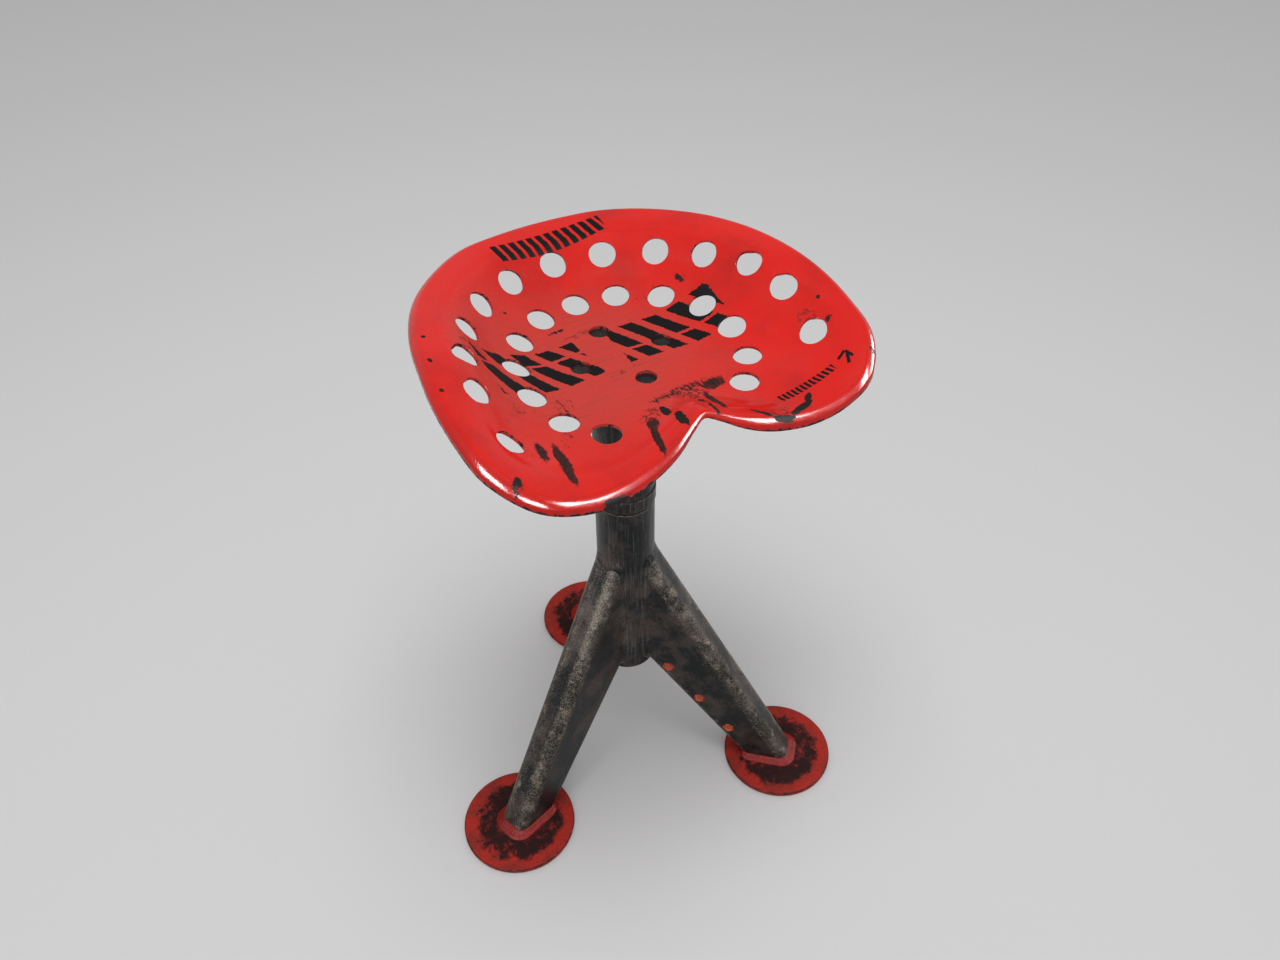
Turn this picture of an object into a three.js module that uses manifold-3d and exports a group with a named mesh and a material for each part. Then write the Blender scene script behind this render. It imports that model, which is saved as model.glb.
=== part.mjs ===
// Tractor seat stool: a pressed steel pan seat that turns on a tripod of welded steel.
// Millimetres, +Z up. The seat's front faces -Y, and the origin is the middle of the footprint on the floor.

import * as THREE from "three";
import { mergeVertices } from "three/addons/utils/BufferGeometryUtils.js";
import Module from "manifold-3d";

const wasm = await Module();
wasm.setup();

// Clearances and fineness
const seatGap = 0.3;
const turningGap = 0.3;
const cutOverrun = 5;
const roundSides = 40;
const innerSides = 28;
const holeSides = 16;
const cornerSteps = 3;
const beadStep = 4.5;
const tableFineness = 12;

// Seat pan: a dished sheet with a rolled rim, two thigh lobes and a raised pommel between them
const seatHeight = 553;
const sheetThickness = 3;
const rimHalfWidth = 183;
const rimRearReach = 176;
const rimFrontReach = 147;
const rimRise = 57;
const flatRadius = 58;
const rollRadius = 9;
const rollDrop = 4;
const panSpokes = 56;
const rollSteps = 3;

// Half of the rim's crest from the middle of the rear to the notch: side, rear (minus is front) and rise
const rimShares = [
  [0, 1, 0.82], [0.21, 0.98, 0.83], [0.4, 0.925, 0.86], [0.6, 0.77, 0.92], [0.79, 0.54, 0.97],
  [0.91, 0.27, 1], [0.97, 0, 0.98], [1, -0.27, 0.88], [1, -0.54, 0.72], [0.97, -0.78, 0.54],
  [0.845, -0.97, 0.26], [0.69, -1.01, 0.06], [0.52, -1.005, -0.02], [0.35, -0.975, 0.03],
  [0.19, -0.94, 0.16], [0.08, -0.895, 0.28], [0, -0.865, 0.35],
];

// Rise of the pan's wall from the flat bottom to the crest: share of the way out, share of the rise.
// The lobes' walls stay low for longer, most of all in the direction whose sine is lobeSineShare.
const wallShares = [
  [0, 0], [0.13, 0.025], [0.25, 0.105], [0.35, 0.2], [0.45, 0.3], [0.55, 0.465], [0.65, 0.69], [0.74, 0.86],
  [0.83, 0.93], [0.92, 0.97], [1, 1],
];
const lobeWallShares = [
  [0, 0], [0.13, 0], [0.25, 0.035], [0.35, 0.07], [0.45, 0.11], [0.55, 0.16], [0.65, 0.27], [0.74, 0.47],
  [0.83, 0.71], [0.92, 0.9], [1, 1],
];
const lobeSineShare = -0.55;
const lobeSpreadShare = 0.3;
const ringShares = [0.15, 0.3, 0.44, 0.56, 0.66, 0.76, 0.87, 1];
const notchHalfWidth = 34;
const notchRollShare = 0.45;

// Seat holes: half of each row from the rear, as shares of the rim's half width and rear reach
const rowHoleDiameter = 26;
const outerRowShares = [
  [0, 0.732], [0.268, 0.683], [0.498, 0.518], [0.663, 0.301], [0.772, 0.051], [0.824, -0.183], [0.812, -0.464],
];
const innerRowShares = [
  [0, 0.49], [0.218, 0.453], [0.406, 0.303], [0.525, 0.09], [0.554, -0.14], [0.502, -0.358], [0.374, -0.52],
];
const mountHoleDiameter = 19;
const mountHoleCircle = 83;
const mountHoleCount = 4;

// Swivel head: mounting plate, head tube and the turned collar that closes its lower end
const plateDiameter = 112;
const plateThickness = 6;
const tubeDiameter = 60.3;
const tubeWall = 3.9;
const collarDiameter = 62.6;
const collarHeight = 14;
const collarSpigot = 14;
const collarChamfer = 1.2;
const plateWeldSize = 6;
const plateWeldCrownShare = 0.6;
const seatWeldSize = 4;

// Pedestal: open ended tube with two bush rings welded inside it
const seamHeight = 381;
const tubeFoot = 148;
const rimChamfer = 1;
const bushWall = 4;
const bushFlangeDiameter = 46;
const bushFlangeThickness = 2;
const bushLength = 30;
const lowerBushHeight = 222;
const washerThickness = 1.6;
const washerDiameter = 55;

// Spindle and what keeps it in the pedestal
const spindleDiameter = 25;
const stubDiameter = 19.6;
const stubLength = 30;
const keeperDiameter = 44;
const keeperThickness = 4;
const nutAcrossFlats = 30;
const nutHeight = 16;

// Legs: flattened tubes that taper from the pedestal to the foot
const legTopHeight = 308;
const legCrotchHeight = 156;
const legToeReach = 199;
const legHeelReach = 148;
const legWidth = 36;
const legWall = 3;
const legOuterCorner = 10;
const legInnerCorner = 4;
const legWeldSize = 6;
const legSides = ["back", "left", "right"];
const backLegTurnShare = 0.211389;

// Painted plugs in the side of the right leg: shares of the way down it, and distance from its inner edge
const plugDiameter = 13;
const plugDish = 0.8;
const plugReachShares = { upper: 0.26, middle: 0.447, lower: 0.63 };
const plugEdgeDistance = 11.5;

// Feet
const footCircleRadius = 183;
const footDiameter = 125;
const footThickness = 5;
const footChamfer = 0.8;
const footWeldSize = 7;

// Sizes that follow from the ones above
const tubeRadius = tubeDiameter / 2;
const tubeBore = tubeRadius - tubeWall;
const plateTop = seatHeight - sheetThickness - seatGap;
const plateBottom = plateTop - plateThickness;
const washerBottom = seamHeight + bushFlangeThickness + seatGap;
const collarBottom = washerBottom + washerThickness + turningGap;
const headTubeBottom = collarBottom + collarHeight + seatGap;
const headTubeTop = plateBottom - seatGap;
const spindleTop = headTubeBottom + collarSpigot;
const stubTop = lowerBushHeight - turningGap;
const keeperTop = stubTop - seatGap;
const bushBore = spindleDiameter / 2 + turningGap;
const bushRadius = bushBore + bushWall;

// Closed solids from meshes, for the cuts and joins that need them
function toSolid(geometry) {
  let bare = geometry.clone();
  bare.deleteAttribute("normal");
  if (bare.getAttribute("uv")) bare.deleteAttribute("uv");
  bare = mergeVertices(bare, seatGap / 1000);
  return new wasm.Manifold(new wasm.Mesh({
    numProp: 3,
    vertProperties: new Float32Array(bare.attributes.position.array),
    triVerts: new Uint32Array(bare.index.array),
  }));
}

function toGeometry(solid) {
  const mesh = solid.getMesh();
  const geometry = new THREE.BufferGeometry();
  geometry.setAttribute("position", new THREE.BufferAttribute(new Float32Array(mesh.vertProperties), 3));
  geometry.setIndex(new THREE.BufferAttribute(new Uint32Array(mesh.triVerts), 1));
  geometry.computeVertexNormals();
  return geometry;
}

// A turned piece from its [radius, height] outline, closed on itself or on the axis
function turned(outline, sides = roundSides) {
  return new THREE.LatheGeometry(outline.map(([radius, height]) => new THREE.Vector2(radius, height)), sides);
}

function ring(innerRadius, outerRadius, bottom, top, sides = roundSides) {
  return turned([
    [innerRadius, bottom], [outerRadius, bottom], [outerRadius, top], [innerRadius, top], [innerRadius, bottom],
  ], sides);
}

function upright(radius, bottom, top, sides = roundSides) {
  const geometry = new THREE.CylinderGeometry(radius, radius, top - bottom, sides);
  geometry.rotateX(Math.PI / 2);
  geometry.translate(0, 0, (top + bottom) / 2);
  return geometry;
}

// LatheGeometry turns about Y, so a turned piece is stood up along Z
function stood(geometry) {
  geometry.rotateX(Math.PI / 2);
  return geometry;
}

// A closed body from rings of points, first ring to last, with the ends capped or joined
function loft(rings, joinEnds = false) {
  const count = rings[0].length;
  const points = rings.flat();
  const index = [];
  const last = joinEnds ? rings.length : rings.length - 1;
  for (let r = 0; r < last; r++) {
    const next = (r + 1) % rings.length;
    for (let k = 0; k < count; k++) {
      const side = (k + 1) % count;
      index.push(r * count + k, r * count + side, next * count + side);
      index.push(r * count + k, next * count + side, next * count + k);
    }
  }
  if (!joinEnds) {
    for (const [ringIndex, turn] of [[0, -1], [rings.length - 1, 1]]) {
      const outline = rings[ringIndex];
      const hub = points.length;
      points.push(outline.reduce((sum, p) => sum.add(p), new THREE.Vector3()).divideScalar(count));
      for (let k = 0; k < count; k++) {
        const pair = [ringIndex * count + k, ringIndex * count + (k + 1) % count];
        if (turn < 0) pair.reverse();
        index.push(hub, ...pair);
      }
    }
  }
  const geometry = new THREE.BufferGeometry();
  geometry.setFromPoints(points);
  geometry.setIndex(index);
  return outward(geometry);
}

// Turn a closed mesh's faces outward if they were wound the other way
function outward(geometry) {
  const p = geometry.attributes.position;
  const index = geometry.index.array;
  const [a, b, c] = [new THREE.Vector3(), new THREE.Vector3(), new THREE.Vector3()];
  let volume = 0;
  for (let t = 0; t < index.length; t += 3) {
    a.fromBufferAttribute(p, index[t]);
    b.fromBufferAttribute(p, index[t + 1]);
    c.fromBufferAttribute(p, index[t + 2]);
    volume += a.dot(b.cross(c));
  }
  if (volume < 0) {
    for (let t = 0; t < index.length; t += 3) [index[t + 1], index[t + 2]] = [index[t + 2], index[t + 1]];
  }
  geometry.computeVertexNormals();
  return geometry;
}

// Rim crest as a smooth closed curve, mirrored about the middle of the seat
function rimPoint([side, rear, rise], mirror) {
  const reach = rear > 0 ? rimRearReach : rimFrontReach;
  return new THREE.Vector3(mirror * side * rimHalfWidth, rear * reach, seatHeight + rise * rimRise);
}
const rimHalf = rimShares.map((share) => rimPoint(share, 1));
const rimOther = rimShares.slice(1, -1).reverse().map((share) => rimPoint(share, -1));
const rimCurve = new THREE.CatmullRomCurve3([...rimHalf, ...rimOther], true, "centripetal");
rimCurve.arcLengthDivisions = panSpokes * rimShares.length;
const rimPoints = rimCurve.getSpacedPoints(panSpokes).slice(0, panSpokes);

// The crest straight out from the seat's middle in a given direction
const rimSamples = rimCurve.getSpacedPoints(panSpokes * rimShares.length)
  .map((p) => ({ angle: Math.atan2(p.y, p.x), radius: Math.hypot(p.x, p.y), height: p.z }))
  .sort((a, b) => a.angle - b.angle);
function crestAt(angle) {
  let high = rimSamples.findIndex((sample) => sample.angle >= angle);
  if (high < 0) high = 0;
  const low = (high + rimSamples.length - 1) % rimSamples.length;
  const [a, b] = [rimSamples[low], rimSamples[high]];
  const span = b.angle - a.angle;
  const share = span > 0 ? (angle - a.angle) / span : 0;
  return {
    radius: THREE.MathUtils.lerp(a.radius, b.radius, share),
    height: THREE.MathUtils.lerp(a.height, b.height, share),
  };
}

// Share of the wall's rise in a direction, at a share of the way from the flat bottom to the crest
const [wallTable, lobeTable] = [wallShares, lobeWallShares].map((shares) => {
  const curve = new THREE.SplineCurve(shares.map(([out, rise]) => new THREE.Vector2(out, rise)));
  return curve.getPoints(shares.length * tableFineness);
});
function riseFrom(table, out) {
  if (out <= 0) return 0;
  for (let k = 1; k < table.length; k++) {
    if (out <= table[k].x) {
      const [a, b] = [table[k - 1], table[k]];
      return THREE.MathUtils.mapLinear(out, a.x, b.x, a.y, b.y);
    }
  }
  return 1;
}
function wallRise(out, angle) {
  const lobe = Math.exp(-(((Math.sin(angle) - lobeSineShare) / lobeSpreadShare) ** 2));
  return THREE.MathUtils.lerp(riseFrom(wallTable, out), riseFrom(lobeTable, out), lobe);
}

function panHeight(x, y) {
  const angle = Math.atan2(y, x);
  const crest = crestAt(angle);
  const out = (Math.hypot(x, y) - flatRadius) / (crest.radius - flatRadius);
  return seatHeight + wallRise(out, angle) * (crest.height - seatHeight);
}

function panNormal(x, y) {
  const step = sheetThickness / 2;
  const alongX = (panHeight(x + step, y) - panHeight(x - step, y)) / (2 * step);
  const alongY = (panHeight(x, y + step) - panHeight(x, y - step)) / (2 * step);
  return new THREE.Vector3(-alongX, -alongY, 1).normalize();
}

// One spoke of the pan's upper face, from the flat bottom over the crest and down the rolled rim
function panSpoke(index) {
  const crest = rimPoints[index];
  const before = rimPoints[(index + panSpokes - 1) % panSpokes];
  const after = rimPoints[(index + 1) % panSpokes];
  const outDirection = new THREE.Vector3(after.y - before.y, before.x - after.x, 0).normalize();
  if (outDirection.dot(crest) < 0) outDirection.negate();
  const reach = Math.hypot(crest.x, crest.y);
  const points = [];
  for (const share of [0, ...ringShares]) {
    const radius = THREE.MathUtils.lerp(flatRadius, reach, share);
    const scale = radius / reach;
    const height = seatHeight + wallRise(share, Math.atan2(crest.y, crest.x)) * (crest.z - seatHeight);
    points.push(new THREE.Vector3(crest.x * scale, crest.y * scale, height));
  }
  const inNotch = crest.y < 0 ? Math.exp(-((crest.x / notchHalfWidth) ** 2)) : 0;
  const rollShare = THREE.MathUtils.lerp(1, notchRollShare, inNotch);
  for (let k = 1; k <= rollSteps; k++) {
    const turn = (k / rollSteps) * (Math.PI / 2);
    const point = crest.clone().addScaledVector(outDirection, rollRadius * rollShare * Math.sin(turn));
    point.z -= rollRadius * rollShare * (1 - Math.cos(turn));
    points.push(point);
  }
  const edge = points[points.length - 1].clone();
  edge.z -= rollDrop * rollShare;
  points.push(edge);
  return points;
}

// The sheet: its upper face as a grid, its lower face a sheet thickness behind it
function panSheet() {
  const spokes = Array.from({ length: panSpokes }, (_, k) => panSpoke(k));
  const depth = spokes[0].length;
  const upper = [new THREE.Vector3(0, 0, seatHeight), ...spokes.flat()];
  const faces = [];
  const at = (spoke, step) => 1 + (spoke % panSpokes) * depth + step;
  for (let s = 0; s < panSpokes; s++) {
    faces.push([0, at(s, 0), at(s + 1, 0)]);
    for (let k = 0; k < depth - 1; k++) {
      faces.push([at(s, k), at(s, k + 1), at(s + 1, k + 1)]);
      faces.push([at(s, k), at(s + 1, k + 1), at(s + 1, k)]);
    }
  }
  const skin = new THREE.BufferGeometry().setFromPoints(upper);
  skin.setIndex(faces.flat());
  skin.computeVertexNormals();
  const normals = skin.attributes.normal;
  const facing = Math.sign(normals.getZ(0));
  const lower = upper.map((p, k) => {
    const normal = new THREE.Vector3().fromBufferAttribute(normals, k);
    return p.clone().addScaledVector(normal, -facing * sheetThickness);
  });
  const index = [...faces];
  const under = upper.length;
  for (const [a, b, c] of faces) index.push([under + a, under + c, under + b]);
  for (let s = 0; s < panSpokes; s++) {
    const [a, b] = [at(s, depth - 1), at(s + 1, depth - 1)];
    index.push([a, under + a, under + b], [a, under + b, b]);
  }
  const geometry = new THREE.BufferGeometry().setFromPoints([...upper, ...lower]);
  geometry.setIndex(index.flat());
  return outward(geometry);
}

// A punch that cuts square through the sheet at a place on it
function punch(x, y, diameter) {
  const cutter = new THREE.CylinderGeometry(diameter / 2, diameter / 2, 4 * sheetThickness, holeSides);
  const turn = new THREE.Quaternion().setFromUnitVectors(new THREE.Vector3(0, 1, 0), panNormal(x, y));
  cutter.applyQuaternion(turn);
  cutter.translate(x, y, panHeight(x, y));
  return toSolid(cutter);
}

function seatPanGeometry() {
  let pan = toSolid(panSheet());
  for (const row of [outerRowShares, innerRowShares]) {
    for (const [side, rear] of row) {
      for (const mirror of side > 0 ? [1, -1] : [1]) {
        const place = [mirror * side * rimHalfWidth, rear * rimRearReach];
        pan = pan.subtract(punch(...place, rowHoleDiameter));
      }
    }
  }
  for (let k = 0; k < mountHoleCount; k++) {
    const angle = (k / mountHoleCount) * 2 * Math.PI;
    const place = [Math.cos(angle) * mountHoleCircle / 2, Math.sin(angle) * mountHoleCircle / 2];
    pan = pan.subtract(punch(...place, mountHoleDiameter));
  }
  return toGeometry(pan);
}

// Head pieces, all turned about the pedestal's axis
function mountingPlateGeometry() {
  const radius = plateDiameter / 2;
  return stood(turned([
    [0, plateBottom], [radius - rimChamfer, plateBottom], [radius, plateBottom + rimChamfer],
    [radius, plateTop], [0, plateTop],
  ]));
}

function seatWeldGeometry() {
  const inner = plateDiameter / 2 + seatGap;
  const top = plateTop;
  return stood(turned([
    [inner, top], [inner, top - seatWeldSize], [inner + seatWeldSize / 2, top - seatWeldSize / 2],
    [inner + seatWeldSize, top], [inner, top],
  ]));
}

function plateWeldGeometry() {
  const inner = tubeRadius + seatGap;
  const top = plateBottom - seatGap;
  return stood(turned([
    [inner, top], [inner, top - plateWeldSize], [inner + plateWeldSize / 2, top - plateWeldSize * plateWeldCrownShare],
    [inner + plateWeldSize, top], [inner, top],
  ]));
}

function headTubeGeometry() {
  return stood(ring(tubeBore, tubeRadius, headTubeBottom, headTubeTop));
}

function collarGeometry() {
  const bore = spindleDiameter / 2 + seatGap;
  const spigot = tubeBore - seatGap;
  const radius = collarDiameter / 2;
  const shoulder = collarBottom + collarHeight;
  return stood(turned([
    [bore, collarBottom], [radius - collarChamfer, collarBottom], [radius, collarBottom + collarChamfer],
    [radius, shoulder - collarChamfer], [radius - collarChamfer, shoulder], [spigot, shoulder],
    [spigot, shoulder + collarSpigot], [bore, shoulder + collarSpigot], [bore, collarBottom],
  ]));
}

function spindleGeometry() {
  const stubBottom = stubTop - stubLength;
  const [shaft, stub] = [spindleDiameter / 2, stubDiameter / 2];
  return stood(turned([
    [0, stubBottom], [stub - rimChamfer, stubBottom], [stub, stubBottom + rimChamfer], [stub, stubTop],
    [shaft, stubTop], [shaft, spindleTop], [0, spindleTop],
  ], innerSides));
}

// Pedestal pieces
function pedestalGeometry() {
  return stood(turned([
    [tubeBore, tubeFoot], [tubeRadius, tubeFoot], [tubeRadius, seamHeight - rimChamfer],
    [tubeRadius - rimChamfer, seamHeight], [tubeBore, seamHeight], [tubeBore, tubeFoot],
  ]));
}

function housingGeometry(bottom) {
  return stood(ring(bushRadius + seatGap, tubeBore - seatGap, bottom, bottom + bushLength, innerSides));
}

function upperBushGeometry() {
  const flange = bushFlangeDiameter / 2;
  const bottom = seamHeight - bushLength;
  return stood(turned([
    [bushBore, bottom], [bushRadius, bottom], [bushRadius, seamHeight + seatGap], [flange, seamHeight + seatGap],
    [flange, seamHeight + bushFlangeThickness], [bushBore, seamHeight + bushFlangeThickness], [bushBore, bottom],
  ], innerSides));
}

function lowerBushGeometry() {
  return stood(ring(bushBore, bushRadius, lowerBushHeight, lowerBushHeight + bushLength, innerSides));
}

function thrustWasherGeometry() {
  return stood(ring(bushBore, washerDiameter / 2, washerBottom, washerBottom + washerThickness));
}

function keeperGeometry() {
  const inner = stubDiameter / 2 + seatGap;
  return stood(ring(inner, keeperDiameter / 2, keeperTop - keeperThickness, keeperTop, innerSides));
}

function nutGeometry() {
  const top = keeperTop - keeperThickness - seatGap;
  const corner = nutAcrossFlats / 2 / Math.cos(Math.PI / 6);
  const hexagon = toSolid(upright(corner, top - nutHeight, top, 6));
  const inner = stubDiameter / 2 + seatGap;
  const bore = toSolid(upright(inner, top - nutHeight - cutOverrun, top + cutOverrun, innerSides));
  return toGeometry(hexagon.subtract(bore));
}

// A leg stands in the XZ plane, leaning out along +X from the pedestal, between two edge lines
const legOuterTop = new THREE.Vector3(tubeRadius, 0, legTopHeight);
const legOuterFoot = new THREE.Vector3(legToeReach, 0, footThickness);
const legInnerTop = new THREE.Vector3(tubeRadius, 0, legCrotchHeight);
const legInnerFoot = new THREE.Vector3(legHeelReach, 0, footThickness);
const legOuterWay = legOuterFoot.clone().sub(legOuterTop).normalize();
const legInnerWay = legInnerFoot.clone().sub(legInnerTop).normalize();
const legAxis = legOuterWay.clone().add(legInnerWay).normalize();
const legMiddle = legOuterTop.clone().add(legInnerTop).divideScalar(2);
const legStart = legCrotchHeight - legTopHeight;
const legEnd = legOuterFoot.clone().sub(legMiddle).dot(legAxis) + legWidth;

// Where an edge line crosses the plane square to the leg at a distance along it
function edgePoint(top, way, along) {
  const toTop = top.clone().sub(legMiddle).dot(legAxis);
  return top.clone().addScaledVector(way, (along - toTop) / way.dot(legAxis));
}

// Section of the leg square to its axis at a distance along it, inset by a wall
function legSection(along, inset) {
  const outer = edgePoint(legOuterTop, legOuterWay, along);
  const inner = edgePoint(legInnerTop, legInnerWay, along);
  const across = outer.clone().sub(inner);
  const depth = across.length() / 2 - inset;
  const middle = outer.clone().add(inner).divideScalar(2);
  across.normalize();
  const half = legWidth / 2 - inset;
  const points = [];
  const corners = [
    [1, 1, legOuterCorner, 0], [-1, 1, legInnerCorner, 1], [-1, -1, legInnerCorner, 2], [1, -1, legOuterCorner, 3],
  ];
  for (const [deep, wide, corner, quarter] of corners) {
    const radius = Math.max(corner - inset, seatGap);
    for (let k = 0; k <= cornerSteps; k++) {
      const turn = (quarter + k / cornerSteps) * (Math.PI / 2);
      const point = middle.clone().addScaledVector(across, deep * (depth - radius) + radius * Math.cos(turn));
      point.y += wide * (half - radius) + radius * Math.sin(turn);
      points.push(point);
    }
  }
  return points;
}

function legBody(inset) {
  return toSolid(loft([legSection(legStart, inset), legSection(legEnd, inset)]));
}

function legGeometry(plugs) {
  let leg = legBody(0).subtract(legBody(legWall));
  const tall = legTopHeight * 2;
  leg = leg.subtract(toSolid(upright(tubeRadius + seatGap, -tall, tall)));
  const wide = footDiameter + legToeReach;
  const behind = new THREE.BoxGeometry(wide, wide, 2 * tall);
  behind.translate(-wide / 2, 0, 0);
  leg = leg.subtract(toSolid(behind));
  const below = new THREE.BoxGeometry(2 * wide, 2 * wide, tall);
  below.translate(0, 0, footThickness + seatGap - tall / 2);
  leg = leg.subtract(toSolid(below));
  if (plugs) {
    for (const share of Object.values(plugReachShares)) {
      leg = leg.subtract(toSolid(plugBody(share, plugDiameter / 2 + seatGap, legWall + cutOverrun, cutOverrun)));
    }
  }
  return toGeometry(leg);
}

// Place of a plug: a share down the leg's inner edge, a set distance in from that edge
function plugBody(share, radius, depth, proud) {
  const along = THREE.MathUtils.lerp(0, legEnd, share);
  const place = edgePoint(legInnerTop, legInnerWay, along);
  const across = edgePoint(legOuterTop, legOuterWay, along).sub(place).normalize();
  place.addScaledVector(across, plugEdgeDistance);
  const body = new THREE.CylinderGeometry(radius, radius, depth + proud, holeSides);
  body.translate(place.x, -legWidth / 2 - proud / 2 + depth / 2, place.z);
  return body;
}

function plugGeometry(share) {
  return plugBody(share, plugDiameter / 2, legWall, -plugDish);
}

// A weld bead laid round a closed line where a leg meets another surface.
// Each station gives the corner point and the two directions that the bead spreads in.
function bead(stations, size) {
  const profileShares = [[0, 0], [1, 0], [0.72, 0.42], [0.42, 0.72], [0, 1]];
  const rings = stations.map(({ corner, spread, climb }) => profileShares.map(([a, b]) => corner.clone()
    .addScaledVector(spread, a * size).addScaledVector(climb, b * size)));
  return loft(rings, true);
}

// Points of the leg's skin with its outward direction and the way down the leg at each,
// close enough together across the narrow faces to follow the pedestal's curve
function legSkin() {
  const upper = legSection(legStart, 0);
  const lower = legSection(legEnd, 0);
  const proud = legSection(legStart, -seatGap);
  const skin = [];
  upper.forEach((corner, k) => {
    const next = (k + 1) % upper.length;
    const steps = Math.max(1, Math.ceil(Math.abs(upper[next].y - corner.y) / beadStep));
    for (let step = 0; step < steps; step++) {
      const share = step / steps;
      const start = corner.clone().lerp(upper[next], share);
      const down = lower[k].clone().lerp(lower[next], share).sub(start).normalize();
      const normal = proud[k].clone().lerp(proud[next], share).sub(start);
      normal.addScaledVector(down, -normal.dot(down)).normalize();
      skin.push({ start, down, normal });
    }
  });
  return skin;
}

function legWeldGeometry() {
  const stations = legSkin().map(({ start, down, normal }) => {
    const y = start.y;
    const x = Math.sqrt(tubeRadius ** 2 - y ** 2);
    const contact = start.clone().addScaledVector(down, (x - start.x) / down.x);
    const fromTube = new THREE.Vector3(x, y, 0).normalize();
    const spread = normal.clone().addScaledVector(fromTube, -normal.dot(fromTube)).normalize();
    const corner = contact.clone().addScaledVector(spread, seatGap / spread.dot(normal))
      .addScaledVector(down, 2 * seatGap / down.dot(fromTube));
    return { corner, spread, climb: down };
  });
  return bead(stations, legWeldSize);
}

function footWeldGeometry() {
  const stations = legSkin().map(({ start, down, normal }) => {
    const contact = start.clone().addScaledVector(down, (footThickness - start.z) / down.z);
    const spread = new THREE.Vector3(normal.x, normal.y, 0).normalize();
    const climb = down.clone().negate();
    const corner = contact.clone().addScaledVector(spread, 2 * seatGap / spread.dot(normal))
      .addScaledVector(climb, seatGap / climb.z);
    return { corner, spread, climb };
  });
  return bead(stations, footWeldSize);
}

function footGeometry() {
  const radius = footDiameter / 2;
  const disc = stood(turned([
    [0, 0], [radius - footChamfer, 0], [radius, footChamfer], [radius, footThickness - footChamfer],
    [radius - footChamfer, footThickness], [0, footThickness],
  ]));
  disc.translate(footCircleRadius, 0, 0);
  return disc;
}

// Finishes
const redPaint = { color: 0xd62a24, roughness: 0.28, metalness: 0 };
const dullRedPaint = { color: 0xb02a24, roughness: 0.45, metalness: 0 };
const blackSteel = { color: 0x24211f, roughness: 0.42, metalness: 0.6 };
const weldSteel = { color: 0x2e2a27, roughness: 0.55, metalness: 0.6 };
const turnedSteel = { color: 0x8c8a86, roughness: 0.35, metalness: 0.9 };
const bronze = { color: 0xa9793f, roughness: 0.4, metalness: 0.9 };

function piece(name, geometry, finish) {
  const mesh = new THREE.Mesh(outwardOf(geometry), new THREE.MeshStandardMaterial(finish));
  mesh.name = name;
  return mesh;
}

// Turned and box geometries are merged into closed bodies with shared vertices
function outwardOf(geometry) {
  return toGeometry(toSolid(outward(geometry.index ? geometry : mergeVertices(geometry))));
}

const seatHead = new THREE.Group();
seatHead.add(
  piece("seat_pan", seatPanGeometry(), redPaint),
  piece("mounting_plate", mountingPlateGeometry(), blackSteel),
  piece("seat_weld", seatWeldGeometry(), weldSteel),
  piece("plate_weld", plateWeldGeometry(), weldSteel),
  piece("head_tube", headTubeGeometry(), blackSteel),
  piece("swivel_collar", collarGeometry(), blackSteel),
  piece("spindle", spindleGeometry(), turnedSteel),
  piece("keeper_washer", keeperGeometry(), turnedSteel),
  piece("keeper_nut", nutGeometry(), turnedSteel),
);

const pedestal = new THREE.Group();
pedestal.add(
  piece("pedestal_tube", pedestalGeometry(), blackSteel),
  piece("upper_bush_ring", housingGeometry(seamHeight - bushLength), blackSteel),
  piece("lower_bush_ring", housingGeometry(lowerBushHeight), blackSteel),
  piece("upper_bush", upperBushGeometry(), bronze),
  piece("lower_bush", lowerBushGeometry(), bronze),
  piece("thrust_washer", thrustWasherGeometry(), bronze),
);

for (const [order, side] of legSides.entries()) {
  const leg = new THREE.Group();
  leg.rotation.z = (backLegTurnShare + order / legSides.length) * 2 * Math.PI;
  leg.add(
    piece(`leg_${side}`, legGeometry(side === "right"), blackSteel),
    piece(`leg_weld_${side}`, legWeldGeometry(), weldSteel),
    piece(`foot_${side}`, footGeometry(), dullRedPaint),
    piece(`foot_weld_${side}`, footWeldGeometry(), dullRedPaint),
  );
  if (side === "right") {
    for (const [place, share] of Object.entries(plugReachShares)) {
      leg.add(piece(`leg_plug_${place}`, plugGeometry(share), dullRedPaint));
    }
  }
  pedestal.add(leg);
}

// The footprint's middle goes to the origin
const stool = new THREE.Group();
stool.add(pedestal, seatHead);
stool.updateMatrixWorld(true);
const box = new THREE.Box3().setFromObject(stool, true);
stool.position.set(-(box.min.x + box.max.x) / 2, -(box.min.y + box.max.y) / 2, 0);

export default stool;
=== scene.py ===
"""Looks for the tractor seat stool.

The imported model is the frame. Each class here dresses one sub-assembly of it: it builds the finer
pieces that show, in place of the plain solids, and gives every piece its finish.
"""

from __future__ import annotations

import logging
import math
from dataclasses import dataclass
from enum import Enum

import bpy
import numpy as np
from mathutils import Matrix, Vector, noise
from mathutils.geometry import delaunay_2d_cdt

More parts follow.
